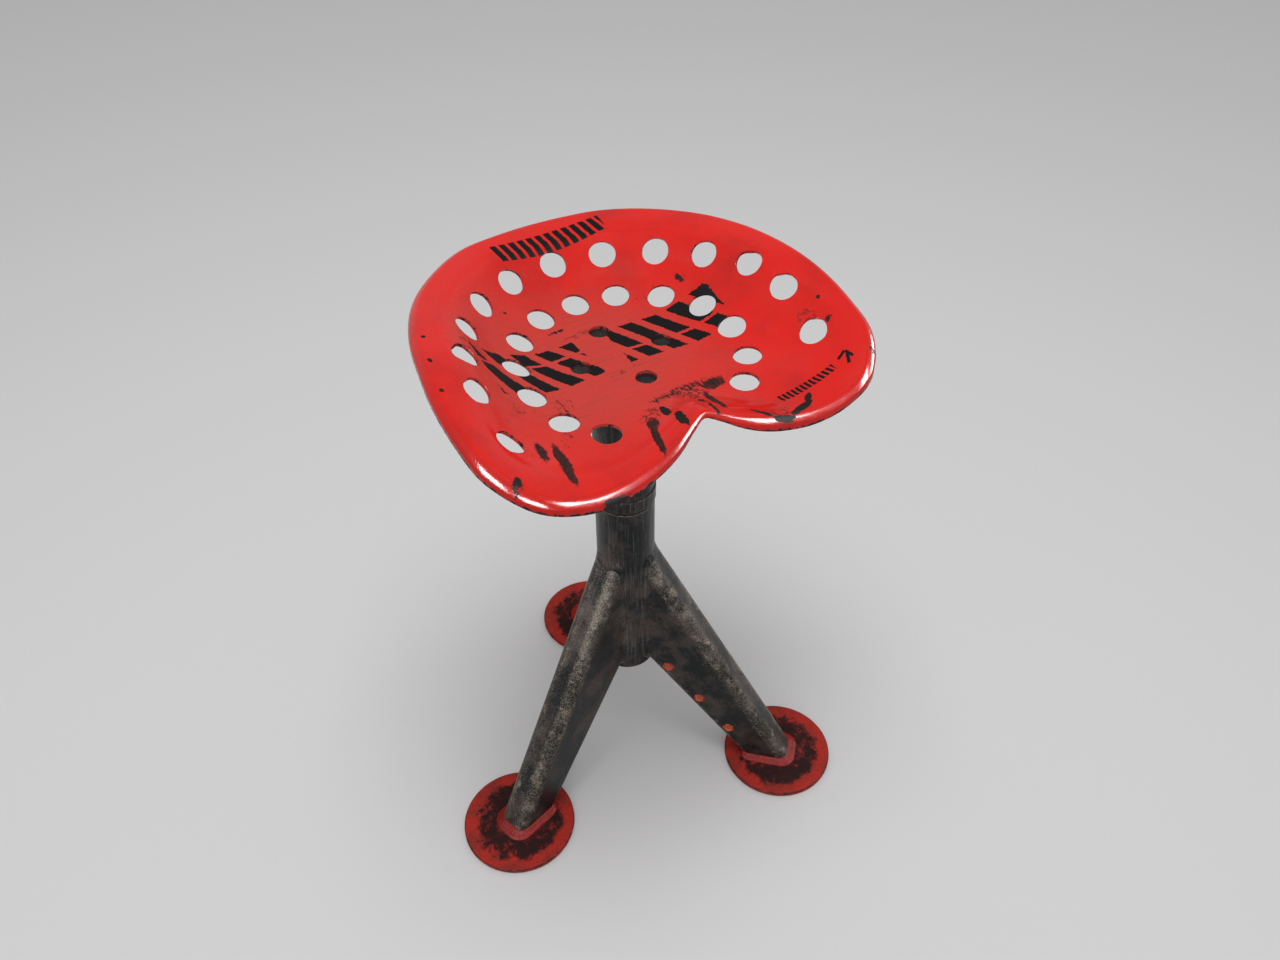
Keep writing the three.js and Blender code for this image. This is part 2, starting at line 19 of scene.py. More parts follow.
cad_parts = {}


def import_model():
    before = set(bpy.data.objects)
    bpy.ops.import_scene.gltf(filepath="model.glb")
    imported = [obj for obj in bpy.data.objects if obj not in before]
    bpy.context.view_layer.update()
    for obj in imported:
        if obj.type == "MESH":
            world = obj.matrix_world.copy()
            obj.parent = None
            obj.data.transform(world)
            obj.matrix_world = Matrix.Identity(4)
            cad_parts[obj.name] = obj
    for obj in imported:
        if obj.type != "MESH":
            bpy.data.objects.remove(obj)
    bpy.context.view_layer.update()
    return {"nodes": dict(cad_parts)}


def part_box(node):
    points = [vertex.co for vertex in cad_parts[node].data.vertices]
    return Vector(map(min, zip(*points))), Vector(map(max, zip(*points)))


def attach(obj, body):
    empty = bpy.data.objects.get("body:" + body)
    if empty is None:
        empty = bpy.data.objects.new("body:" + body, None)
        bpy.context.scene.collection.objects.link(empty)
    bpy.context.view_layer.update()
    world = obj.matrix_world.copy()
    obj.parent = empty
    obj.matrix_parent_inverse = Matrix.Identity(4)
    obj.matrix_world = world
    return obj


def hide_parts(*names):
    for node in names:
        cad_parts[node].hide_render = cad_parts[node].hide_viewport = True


LOG = logging.getLogger("stool")
MM = 0.001
ORIGIN = (0.0, 0.0, 0.0)
PLACED = {"Vector": ORIGIN, "Centre": ORIGIN, "Turn": 0.0, "Half_Size": (10.0, 5.0, 1.0)}

Socket = bpy.types.NodeSocket
Inputs = dict[str | int, object]
Pair = tuple[float, float]
Triple = tuple[float, float, float]
Colour = Triple
Faces = list[tuple[int, ...]]
Outline = list[Pair]


class Body(Enum):
    """The rigid bodies of the stool."""

    BASE = "base"
    SEAT = "seat"


class Slot(Enum):
    """The material slots named for new pieces; they are carried along but not applied."""

    RED = "red_paint"
    DULL_RED = "dull_red_paint"
    BLACK = "black_steel"
    WELD = "weld_steel"
    BRONZE = "bronze"


class Side(Enum):
    """The legs, each with its bearing in degrees from +X."""

    BACK = 76.1
    LEFT = 196.1
    RIGHT = 316.1

    @property
    def label(self) -> str:
        """The leg's name in its nodes."""
        return self.name.lower()


class Tree:
    """Adds shader nodes to one tree and joins them.

    Its place, once given, is where on the piece its noises and effects are read.
    """

    def __init__(self, tree: bpy.types.NodeTree) -> None:
        """Takes a tree, with no place given yet.

        Args:
            tree: A material's node tree or a node group.
        """
        self.nodes = tree.nodes
        self.links = tree.links
        self.place: Socket | None = None

    def feed(self, socket: Socket, value: object) -> None:
        """Links a socket to an input, or sets the input's value.

        Args:
            socket: The input.
            value: Another node's output, or a plain value.
        """
        if isinstance(value, Socket):
            self.links.new(value, socket)
        else:
            socket.default_value = value

    def add(self, kind: str, inputs: Inputs | None = None, **settings: object) -> bpy.types.Node:
        """Adds a node.

        Args:
            kind: The node's type name.
            inputs: Input names or numbers, each with a value or an output to link.
            **settings: The node's own properties.

        Returns:
            The new node.
        """
        node = self.nodes.new(kind)
        for name, value in settings.items():
            setattr(node, name, value)
        for key, value in (inputs or {}).items():
            self.feed(node.inputs[key], value)
        return node

    def math(self, operation: str, *values: object) -> Socket:
        """Adds a Math node with its inputs in order, and returns its output."""
        return self.add("ShaderNodeMath", dict(enumerate(values)), operation=operation).outputs[0]

    def times(self, first: object, second: object) -> Socket:
        """Multiplies two numbers."""
        return self.math("MULTIPLY", first, second)

    def plus(self, first: object, second: object) -> Socket:
        """Adds two numbers."""
        return self.math("ADD", first, second)

    def less(self, first: object, second: object) -> Socket:
        """Takes the second number from the first."""
        return self.math("SUBTRACT", first, second)

    def scaled(self, value: object, factor: object, base: object) -> Socket:
        """Adds a value, times a factor, to a base."""
        return self.math("MULTIPLY_ADD", value, factor, base)

    def larger(self, first: object, second: object) -> Socket:
        """Gives the larger of two numbers."""
        return self.math("MAXIMUM", first, second)

    def smaller(self, first: object, second: object) -> Socket:
        """Gives the smaller of two numbers."""
        return self.math("MINIMUM", first, second)

    def vector(self, operation: str, *values: object) -> Socket:
        """Adds a Vector Math node with its inputs in order, and returns its vector output."""
        return self.add("ShaderNodeVectorMath", dict(enumerate(values)), operation=operation).outputs[0]

    def step(self, value: object, low: float, high: float, start: float = 0.0, end: float = 1.0) -> Socket:
        """Adds a smooth step from start, where the value is low, to end, where it is high."""
        inputs = {"Value": value, "From Min": low, "From Max": high, "To Min": start, "To Max": end}
        return self.add("ShaderNodeMapRange", inputs, interpolation_type="SMOOTHSTEP").outputs[0]

    def mix(self, factor: object, first: object, second: object) -> Socket:
        """Mixes two colours: the first where the factor is 0, the second where it is 1."""
        inputs = {0: factor, 6: rgba(first), 7: rgba(second)}
        return self.add("ShaderNodeMix", inputs, data_type="RGBA").outputs[2]

    def blend(self, factor: object, first: object, second: object) -> Socket:
        """Mixes two numbers: the first where the factor is 0, the second where it is 1."""
        return self.add("ShaderNodeMix", {0: factor, 2: first, 3: second}, data_type="FLOAT").outputs[0]

    def noise(
        self, scale: object, detail: float = 4.0, rough: float = 0.55, at: Socket | None = None
    ) -> Socket:
        """Adds a Noise Texture, read at the tree's place or another, about 0.5 on average."""
        inputs = {"Vector": at or self.place, "Scale": scale, "Detail": detail, "Roughness": rough}
        return self.add("ShaderNodeTexNoise", inputs).outputs[0]

    def drawn(self, scales: Triple, detail: float, rough: float, at: Socket | None = None) -> Socket:
        """Adds a noise that is drawn out, with a scale for each direction."""
        return self.noise(1.0, detail, rough, self.vector("MULTIPLY", at or self.place, scales))

    def length(self, vector: object) -> Socket:
        """Adds a node that gives a vector's length and returns its output."""
        return self.add("ShaderNodeVectorMath", {0: vector}, operation="LENGTH").outputs["Value"]

    def attribute(self, name: str, output: str = "Fac") -> Socket:
        """Reads a mesh attribute and returns one of its outputs."""
        return self.add("ShaderNodeAttribute", attribute_name=name).outputs[output]


def rgba(value: object) -> object:
    """Adds alpha to a plain colour, and leaves an output as it is."""
    return (*value, 1.0) if isinstance(value, tuple) and len(value) == 3 else value


class Effect:
    """A shader node group with named inputs and one named output, shared by finishes."""

    made: dict[str, bpy.types.NodeTree] = {}

    def __init__(self, name: str, output: str, **inputs: float | Triple) -> None:
        """Makes a group with nothing between its inputs and its output.

        Args:
            name: The group's name.
            output: Its output's name.
            **inputs: Each input's usual value, a number or a vector, with _ for each space in its name.
        """
        group = bpy.data.node_groups.new(name, "ShaderNodeTree")
        for label, value in inputs.items():
            kind = "NodeSocketVector" if isinstance(value, tuple) else "NodeSocketFloat"
            socket = group.interface.new_socket(label.replace("_", " "), in_out="INPUT", socket_type=kind)
            socket.default_value = value
        group.interface.new_socket(output, in_out="OUTPUT", socket_type="NodeSocketFloat")
        self.tree = Tree(group)
        self.inputs = self.tree.add("NodeGroupInput").outputs
        self.tree.place = self.inputs["Vector"]
        self.output = self.tree.add("NodeGroupOutput").inputs[0]
        Effect.made[name] = group

    def give(self, value: Socket) -> None:
        """Joins a value to the group's output."""
        self.tree.feed(self.output, value)

    def turned_back(self) -> Socket:
        """Gives the place in the effect's own axes: from its Centre, turned back by its Turn.

        Returns:
            The place's output.
        """
        tree, inputs = self.tree, self.inputs
        away = tree.vector("SUBTRACT", inputs["Vector"], inputs["Centre"])
        flat = tree.vector("MULTIPLY", away, (1.0, 1.0, 0.0))
        turn = {"Vector": flat, "Angle": tree.times(inputs["Turn"], -1.0)}
        return tree.add("ShaderNodeVectorRotate", turn, rotation_type="Z_AXIS").outputs[0]

    def inside_bar(self, local: Socket) -> Socket:
        """Gives how far a place lies inside a bar of the effect's Half Size, in millimetres.

        Args:
            local: The place in the effect's own axes.

        Returns:
            The distance's output, positive inside.
        """
        tree = self.tree
        rest = tree.vector("SUBTRACT", self.inputs["Half Size"], tree.vector("ABSOLUTE", local))
        sides = tree.add("ShaderNodeSeparateXYZ", {0: rest})
        return tree.smaller(sides.outputs[0], sides.outputs[1])

    @staticmethod
    def use(tree: Tree, name: str, **inputs: object) -> Socket:
        """Places a group in a material.

        Args:
            tree: The material's tree.
            name: The group's name.
            **inputs: The group's inputs, with _ for each space.

        Returns:
            The group's output.
        """
        node = tree.add("ShaderNodeGroup", node_tree=Effect.made[name])
        for label, value in {"Vector": tree.place, **inputs}.items():
            tree.feed(node.inputs[label.replace("_", " ")], value)
        return node.outputs[0]


def make_worn_edge() -> None:
    """Builds worn edges: a mask where a grain breaks through, nearer to 1 of Edge the more."""
    effect = Effect("worn edge", "Mask", Vector=ORIGIN, Edge=0.0, Reach=1.0, Scale=0.2)
    tree, inputs = effect.tree, effect.inputs
    grain = tree.noise(inputs["Scale"], 7.0, 0.65)
    effect.give(tree.step(tree.scaled(inputs["Edge"], inputs["Reach"], grain), 1.0, 1.06))


def make_flecks() -> None:
    """Builds flecks: a mask of fine spots that gather in clusters."""
    effect = Effect("flecks", "Mask", Vector=ORIGIN, Scale=0.3, Cover=0.4)
    tree, inputs = effect.tree, effect.inputs
    fine = tree.noise(inputs["Scale"], 6.0, 0.7)
    coarse = tree.noise(tree.times(inputs["Scale"], 0.14), 3.0)
    both = tree.scaled(coarse, 0.8, tree.times(fine, 0.9))
    effect.give(tree.step(tree.plus(both, tree.scaled(inputs["Cover"], 0.6, -0.3)), 0.9, 0.98))


def make_hairlines() -> None:
    """Builds hairlines: a mask of thin wandering scratches, there in parts."""
    effect = Effect("hairlines", "Mask", Vector=ORIGIN, Scale=0.1, Cover=0.4)
    tree, inputs = effect.tree, effect.inputs
    folds = tree.noise(inputs["Scale"], 5.0, 0.62)
    thin = tree.step(tree.math("ABSOLUTE", tree.less(folds, 0.5)), 0.012, 0.03, 1.0, 0.0)
    parts = tree.noise(tree.times(inputs["Scale"], 0.5), 5.0, 0.65)
    effect.give(tree.times(thin, tree.step(tree.plus(parts, inputs["Cover"]), 0.96, 1.02)))


def make_bar() -> None:
    """Builds a bar: how far a place lies inside it, in millimetres."""
    effect = Effect("bar", "Inside", **PLACED)
    effect.give(effect.inside_bar(effect.turned_back()))


def make_row_of_bars() -> None:
    """Builds a row of slanted bars: how far a place lies inside one of them, in millimetres."""
    effect = Effect("row of bars", "Inside", **PLACED, Pitch=8.0, Share=0.6, Slant=0.0)
    tree, inputs = effect.tree, effect.inputs
    local = effect.turned_back()
    sides = tree.add("ShaderNodeSeparateXYZ", {0: local}).outputs
    along = tree.scaled(sides[1], inputs["Slant"], sides[0])
    phase = tree.math("FRACT", tree.math("DIVIDE", along, inputs["Pitch"]))
    to_end = tree.times(tree.less(inputs["Share"], phase), inputs["Pitch"])
    to_start = tree.times(phase, inputs["Pitch"])
    effect.give(tree.smaller(effect.inside_bar(local), tree.smaller(to_end, to_start)))


def make_patch() -> None:
    """Builds a patch: an oval field that is Cover at its middle and falls off outward."""
    effect = Effect("patch", "Mask", **PLACED, Cover=0.5)
    tree, inputs = effect.tree, effect.inputs
    away = tree.length(tree.vector("DIVIDE", effect.turned_back(), inputs["Half Size"]))
    body = tree.times(tree.less(1.0, tree.times(away, away)), inputs["Cover"])
    effect.give(tree.larger(body, -0.4))


def make_effects() -> None:
    """Builds the effects that finishes share."""
    for make in (make_worn_edge, make_flecks, make_hairlines, make_bar, make_row_of_bars, make_patch):
        make()


class Finish:
    """What every finish does: it makes a material and closes it with one Principled shader."""

    name = "finish"
    bump_strength = 0.7

    def start(self) -> tuple[bpy.types.Material, Tree]:
        """Starts a material.

        Returns:
            The material and its empty tree.
        """
        material = bpy.data.materials.new(self.name)
        material.use_nodes = True
        material.node_tree.nodes.clear()
        return material, Tree(material.node_tree)

    def material(self, centre: Vector) -> bpy.types.Material:
        """Builds the material.

        Args:
            centre: The pedestal's axis, in metres.

        Returns:
            The material.
        """
        material, tree = self.start()
        here = tree.add("ShaderNodeTexCoord").outputs["Object"]
        tree.place = tree.vector("DIVIDE", tree.vector("SUBTRACT", here, tuple(centre)), (MM, MM, MM))
        self.dress(tree)
        return material

    def dress(self, tree: Tree) -> None:
        """Adds the finish's own nodes. The tree's place is in millimetres from the pedestal's axis.

        Args:
            tree: The material's tree.
        """
        raise NotImplementedError

    def close(self, tree: Tree, inputs: Inputs, height: object = None, depth: float = 0.5) -> None:
        """Adds the Principled shader and, where a height is given, its bump.

        Args:
            tree: The material's tree.
            inputs: The shader's inputs.
            height: A relief from 0 to 1, or None.
            depth: The relief's full height in millimetres.
        """
        if height is not None:
            relief = {"Height": height, "Distance": depth * MM, "Strength": self.bump_strength}
            inputs = {**inputs, "Normal": tree.add("ShaderNodeBump", relief).outputs[0]}
        shader = tree.add("ShaderNodeBsdfPrincipled", inputs)
        tree.add("ShaderNodeOutputMaterial", {"Surface": shader.outputs[0]})

    @staticmethod
    def most(tree: Tree, shapes: tuple[Mark, ...] | tuple[Patch, ...]) -> Socket:
        """Joins the fields of marks or patches by their largest value.

        Args:
            tree: The material's tree.
            shapes: The marks or patches.

        Returns:
            The joined field.
        """
        joined = shapes[0].field(tree)
        for shape in shapes[1:]:
            joined = tree.larger(joined, shape.field(tree))
        return joined


@dataclass(frozen=True)
class Mark:
    """A painted bar or a row of slanted bars, in millimetres from the pedestal's axis."""

    centre: Pair
    half: Pair
    turn: float = 0.0
    pitch: float = 0.0
    share: float = 0.66
    slant: float = 0.0

    def field(self, tree: Tree) -> Socket:
        """Gives how far a place lies inside the mark.

        Args:
            tree: The material's tree.

        Returns:
            The distance's output, positive inside.
        """
        shape = {"Centre": (*self.centre, 0.0), "Turn": math.radians(self.turn), "Half_Size": (*self.half, 0)}
        if not self.pitch:
            return Effect.use(tree, "bar", **shape)
        row = {"Pitch": self.pitch, "Share": self.share, "Slant": self.slant}
        return Effect.use(tree, "row of bars", **shape, **row)


@dataclass(frozen=True)
class Patch:
    """A worn or smeared patch, in millimetres from the pedestal's axis."""

    centre: Pair
    half: Pair
    turn: float = 0.0
    cover: float = 0.5

    def field(self, tree: Tree) -> Socket:
        """Places the patch in a material and returns how strong it is there."""
        shape = {"Centre": (*self.centre, 0.0), "Turn": math.radians(self.turn), "Half_Size": (*self.half, 1)}
        return Effect.use(tree, "patch", **shape, Cover=self.cover)


@dataclass(frozen=True)
class SeatEnamel(Finish):
    """Glossy red enamel, dulled in the middle, with painted marks, smears, scratches and chips."""

    name: str = "seat enamel"
    bright: Colour = (0.64, 0.009, 0.005)
    deep: Colour = (0.50, 0.009, 0.006)
    dull: Colour = (0.50, 0.045, 0.034)
    grimy: Colour = (0.26, 0.045, 0.036)
    paint: Colour = (0.004, 0.004, 0.005)
    bare: Colour = (0.012, 0.010, 0.009)
    worn_middle: Triple = (-42.0, 2.0, 0.0)
    worn_reach: float = 92.0
    cloud_scale: float = 0.014
    tone_scale: float = 0.02
    wave_scale: float = 0.07
    chip_scale: float = 0.16
    paint_scale: float = 0.35
    fine_scale: float = 0.55
    smudge_scale: float = 0.75
    rub_scale: Triple = (0.03, 0.5, 0.25)
    streak_scale: Triple = (0.42, 0.07, 0.2)
    blot_scale: Triple = (0.3, 0.2, 0.2)
    chip_edge: Pair = (1.2, 1.25)
    smear_edge: Pair = (0.98, 1.16)
    worn_squeeze: Triple = (0.8, 1.0, 0.0)
    cloud_reach: float = 90.0
    big_fray: float = 5.0
    small_fray: float = 1.6
    rim_power: float = 4.0
    rim_reach: float = 0.62
    lip_reach: float = 0.48
    fresh_roughness: Pair = (0.17, 0.26)
    used_roughness: Pair = (0.36, 0.5)
    marked_roughness: float = 0.55
    fresh_coat: float = 0.42
    used_coat: float = 0.08
    coat_roughness: float = 0.12
    wave_height: float = 0.9
    mirror: float = 0.08
    relief: float = 0.5
    big_marks: tuple[Mark, ...] = (
        Mark((-78, 8), (50, 28), 4, 25, 0.6, 0.5),
        Mark((56, 10), (54, 28), -3, 25, 0.6, 0.5),
    )
    small_marks: tuple[Mark, ...] = (
        Mark((7, 148), (58, 10.5), 0, 9.4, 0.66, 0.2),
        Mark((108, -126.5), (29, 3.8), 1, 4.6, 0.62, 0.3),
        Mark((151, -127), (1.5, 6), -28), Mark((148, -121.5), (4.6, 1.4), 20),
        Mark((153.6, -124.6), (4.6, 1.4), -76),
    )
    bridges: tuple[Mark, ...] = (
        Mark((-78, 18), (60, 1.8), 4), Mark((56, 1), (60, 1.8), -3),
    )
    smears: tuple[Patch, ...] = (
        Patch((-118, -112), (34, 6), 82, 0.66), Patch((-128, -94), (22, 6), 79, 0.5),
        Patch((45, -79), (17, 10), 8, 0.54), Patch((14, -74), (44, 9), 6, 0.34),
        Patch((28, -106), (26, 4.5), 87, 0.66), Patch((-40, -124), (27, 4), 74, 0.66),
        Patch((-32, -104), (14, 7), 74, 0.5), Patch((-90, -60), (60, 14), 64, 0.22),
        Patch((-35, 60), (14, 3), 8, 0.4), Patch((-12, -24), (60, 22), 0, 0.1),
        Patch((-130, 30), (46, 12), 82, 0.2), Patch((60, 66), (60, 16), -28, 0.14),
    )
    chips: tuple[Patch, ...] = (
        Patch((-168, -133), (11, 7), 50, 0.62), Patch((-97, -159), (27, 5.5), 3, 0.76),
        Patch((-15.5, -97), (13, 4.2), 80, 1), Patch((-15, -120), (17, 4.6), 82, 0.95),
        Patch((53, -139), (14, 3.4), -50, 0.8), Patch((68, -149), (14, 3.6), -14, 0.9),
        Patch((90, -145), (18, 4.6), 14, 0.9), Patch((101, -138), (7, 4.5), 40, 0.8),
        Patch((18, -102), (7, 6), 80, 0.66), Patch((14, -124), (17, 3.4), 78, 0.7),
        Patch((162, -84), (5, 4), 0, 0.7), Patch((167, -62), (3, 3), 0, 0.7),
        Patch((-175, 2), (3, 4), 0, 0.7), Patch((-181, -34), (4, 4), 0, 0.7),
        Patch((-167, 35), (3, 3), 0, 0.7), Patch((172, -135), (5, 9), 10, 0.6),
        Patch((97, 57), (4, 9), 10, 0.6), Patch((-71, 89), (4, 3), 0, 0.6),
    )
    scratches: tuple[Patch, ...] = (
        Patch((-28, -100), (36, 42), 0, 0.54), Patch((26, -84), (40, 24), 10, 0.56),
        Patch((-97, -158), (30, 8), 3, 0.56), Patch((74, -142), (40, 13), 0, 0.52),
        Patch((-20, 46), (60, 20), 0, 0.5), Patch((150, -60), (30, 40), 0, 0.48),
        Patch((-120, -40), (50, 70), 0, 0.44),
    )

    def dress(self, tree: Tree) -> None:
        """Adds the enamel with its paint, smears and chips.

        Args:
            tree: The material's tree.
        """
        used = self.use(tree)
        colour, fine = self.enamel(tree, used)
        paint = self.stencil(tree)
        smear = self.smeared(tree)
        edges, chips = self.chipped(tree)
        colour = tree.mix(paint, colour, self.paint)
        colour = tree.mix(smear, colour, self.bare)
        colour = tree.mix(chips, colour, self.bare)
        marked = tree.larger(paint, tree.larger(smear, chips))
        fresh = tree.step(fine, 0.3, 0.7, *self.fresh_roughness)
        rough = tree.blend(used, fresh, tree.step(fine, 0.3, 0.7, *self.used_roughness))
        rough = tree.blend(marked, rough, self.marked_roughness)
        relief = tree.scaled(edges, -0.5, tree.times(fine, 0.5))
        relief = tree.scaled(tree.noise(self.wave_scale, 3.0, 0.5), self.wave_height, relief)
        gloss = tree.times(tree.less(1.0, marked), tree.blend(used, self.fresh_coat, self.used_coat))
        inputs = {"Base Color": colour, "Roughness": rough, "Specular IOR Level": self.mirror,
                  "Coat Weight": gloss, "Coat Roughness": self.coat_roughness}
        self.close(tree, inputs, relief, self.relief)

    def smeared(self, tree: Tree) -> Socket:
        """Where dark smears lie on the enamel.

        Args:
            tree: The material's tree.

        Returns:
            A mask.
        """
        streaks = tree.drawn(self.streak_scale, 6.0, 0.62)
        blots = tree.drawn(self.blot_scale, 8.0, 0.7)
        grain = tree.scaled(streaks, 0.8, tree.times(blots, 0.8))
        smear = tree.step(tree.plus(grain, self.most(tree, self.smears)), *self.smear_edge)
        thin = tree.step(tree.noise(self.smudge_scale, 6.0, 0.75), 0.3, 0.52, 0.62, 1.0)
        return tree.times(smear, thin)

    def chipped(self, tree: Tree) -> tuple[Socket, Socket]:
        """Where the enamel is off, and the painted shade at the sheet's lower edge.

        Args:
            tree: The material's tree.

        Returns:
            The masks of the worn edges, which hold painted shade at the sheet's lower edge, and of these with
            all chips and scratches.
        """
        coarse = tree.times(tree.noise(self.chip_scale, 8.0, 0.7), 1.6)
        patches = tree.step(tree.plus(coarse, self.most(tree, self.chips)), *self.chip_edge)
        where = self.most(tree, self.scratches)
        scratched = Effect.use(tree, "hairlines", Scale=0.11, Cover=where)
        patches = tree.larger(patches, scratched)
        specks = Effect.use(tree, "flecks", Scale=0.3, Cover=0.02)
        # The rim mask darkens the rolled edge most at the sheet's lower edge: worn paint, and painted shade
        # under the roll.
        outer = tree.math("POWER", tree.attribute("rim"), self.rim_power)
        rim = Effect.use(tree, "worn edge", Edge=outer, Reach=self.rim_reach, Scale=0.22)
        lip = Effect.use(tree, "worn edge", Edge=tree.attribute("lip"), Reach=self.lip_reach, Scale=0.25)
        edges = tree.larger(rim, lip)
        return edges, tree.larger(edges, tree.larger(patches, specks))

    def stencil(self, tree: Tree) -> Socket:
        """The painted marks, thin in places.

        Args:
            tree: The material's tree.

        Returns:
            A mask.
        """
        grain = tree.less(tree.noise(self.paint_scale, 5.0, 0.62), 0.5)
        big = self.most(tree, self.big_marks)
        big = tree.smaller(big, tree.times(self.most(tree, self.bridges), -1.0))
        big = tree.step(tree.scaled(grain, self.big_fray, big), -0.25, 0.25)
        small = self.most(tree, self.small_marks)
        small = tree.step(tree.scaled(grain, self.small_fray, small), -0.2, 0.2)
        thin = Effect.use(tree, "flecks", Scale=0.9, Cover=0.12)
        left = tree.scaled(thin, -0.8, 1.0)
        return tree.times(tree.larger(big, small), left)

    def use(self, tree: Tree) -> Socket:
        """How far the enamel is dulled by use: most in the bowl, left of the middle.

        Args:
            tree: The material's tree.

        Returns:
            A mask.
        """
        away = tree.vector("SUBTRACT", tree.place, self.worn_middle)
        near = tree.length(tree.vector("MULTIPLY", away, self.worn_squeeze))
        clouds = tree.noise(self.cloud_scale, 5.0, 0.6)
        used = tree.step(tree.scaled(clouds, -self.cloud_reach, near), self.worn_reach, 0.0)
        return tree.times(used, tree.attribute("bowl"))

    def enamel(self, tree: Tree, used: Socket) -> tuple[Socket, Socket]:
        """The enamel's own colour, and a fine grain.

        Args:
            tree: The material's tree.
            used: Where it is dulled.

        Returns:
            The colour's and the grain's outputs.
        """
        tone = tree.noise(self.tone_scale, 6.0, 0.62)
        fine = tree.noise(self.fine_scale, 4.0, 0.6)
        colour = tree.mix(tree.step(tone, 0.42, 0.72), self.bright, self.deep)
        colour = tree.mix(tree.times(used, 0.9), colour, self.dull)
        rubs = tree.drawn(self.rub_scale, 6.0, 0.62)
        rubbed = tree.times(tree.step(rubs, 0.5, 0.74), tree.blend(used, 0.14, 0.8))
        colour = tree.mix(rubbed, colour, self.grimy)
        return tree.mix(tree.step(fine, 0.55, 0.75, 0.0, 0.22), colour, self.deep), fine


@dataclass(frozen=True)
class DullEnamel(Finish):
    """Dull red enamel on feet and plugs, worn to black steel in patches."""

    name: str = "dull enamel"
    red: Colour = (0.44, 0.031, 0.022)
    faded: Colour = (0.26, 0.032, 0.025)
    grimy: Colour = (0.05, 0.010, 0.009)
    bare: Colour = (0.010, 0.009, 0.009)
    grey: Colour = (0.07, 0.06, 0.05)
    # pale: the colour of the painted highlight, glints painted on crests.
    pale: Colour = (0.56, 0.26, 0.20)
    cover: float = 0.29
    band: Pair = (0.28, 0.95)
    band_fades: Pair = (0.1, 0.3)
    cloud_scale: float = 0.05
    patch_scale: float = 0.075
    grain_scale: float = 0.7
    worn_edge: Pair = (0.76, 0.92)
    glint_edge: Pair = (1.34, 1.48)
    roughness: Pair = (0.3, 0.5)
    worn_roughness: float = 0.46
    mirror: float = 0.04
    relief: float = 0.6
    glint: float = 0.0
    worn: str = "edge"

    def dress(self, tree: Tree) -> None:
        """Adds the enamel, worn most in a band round its middle and along its edges, and, where glint is set,
        a painted highlight of pale glints on crests.

        Args:
            tree: The material's tree.
        """
        clouds = tree.noise(self.cloud_scale, 5.0, 0.65)
        grain = tree.noise(self.grain_scale, 6.0, 0.7)
        colour = tree.mix(tree.step(clouds, 0.42, 0.66), self.red, self.faded)
        colour = tree.mix(tree.step(grain, 0.5, 0.66, 0.0, 0.7), colour, self.grimy)
        reach = tree.attribute("reach")
        start, end = self.band
        inner = tree.step(reach, start, start + self.band_fades[0])
        outer = tree.step(reach, end - self.band_fades[1], end, 1.0, 0.0)
        wide = tree.noise(self.patch_scale, 9.0, 0.78)
        middle = tree.times(tree.times(inner, outer), self.cover)
        broken = tree.scaled(grain, 0.3, tree.plus(wide, middle))
        edge = Effect.use(tree, "worn edge", Edge=tree.attribute(self.worn), Reach=0.6, Scale=0.16)
        worn = tree.larger(tree.step(broken, *self.worn_edge), edge)
        bare = tree.mix(tree.step(grain, 0.56, 0.74), self.bare, self.grey)
        colour = tree.mix(tree.times(worn, 0.95), colour, bare)
        # Painted highlight: pale glints painted on the bead's ripple crests, where light would catch them.
        if self.glint:
            crest = tree.scaled(grain, 0.8, tree.attribute("edge"))
            crest = tree.scaled(tree.less(wide, 0.5), 2.4, crest)
            colour = tree.mix(tree.step(crest, *self.glint_edge, 0.0, self.glint), colour, self.pale)
        rough = tree.blend(worn, tree.step(grain, 0.3, 0.7, *self.roughness), self.worn_roughness)
        relief = tree.scaled(worn, -0.4, tree.times(grain, 0.6))
        relief = tree.scaled(clouds, 1.0, relief)
        inputs = {"Base Color": colour, "Roughness": rough, "Specular IOR Level": self.mirror}
        self.close(tree, inputs, relief, self.relief)


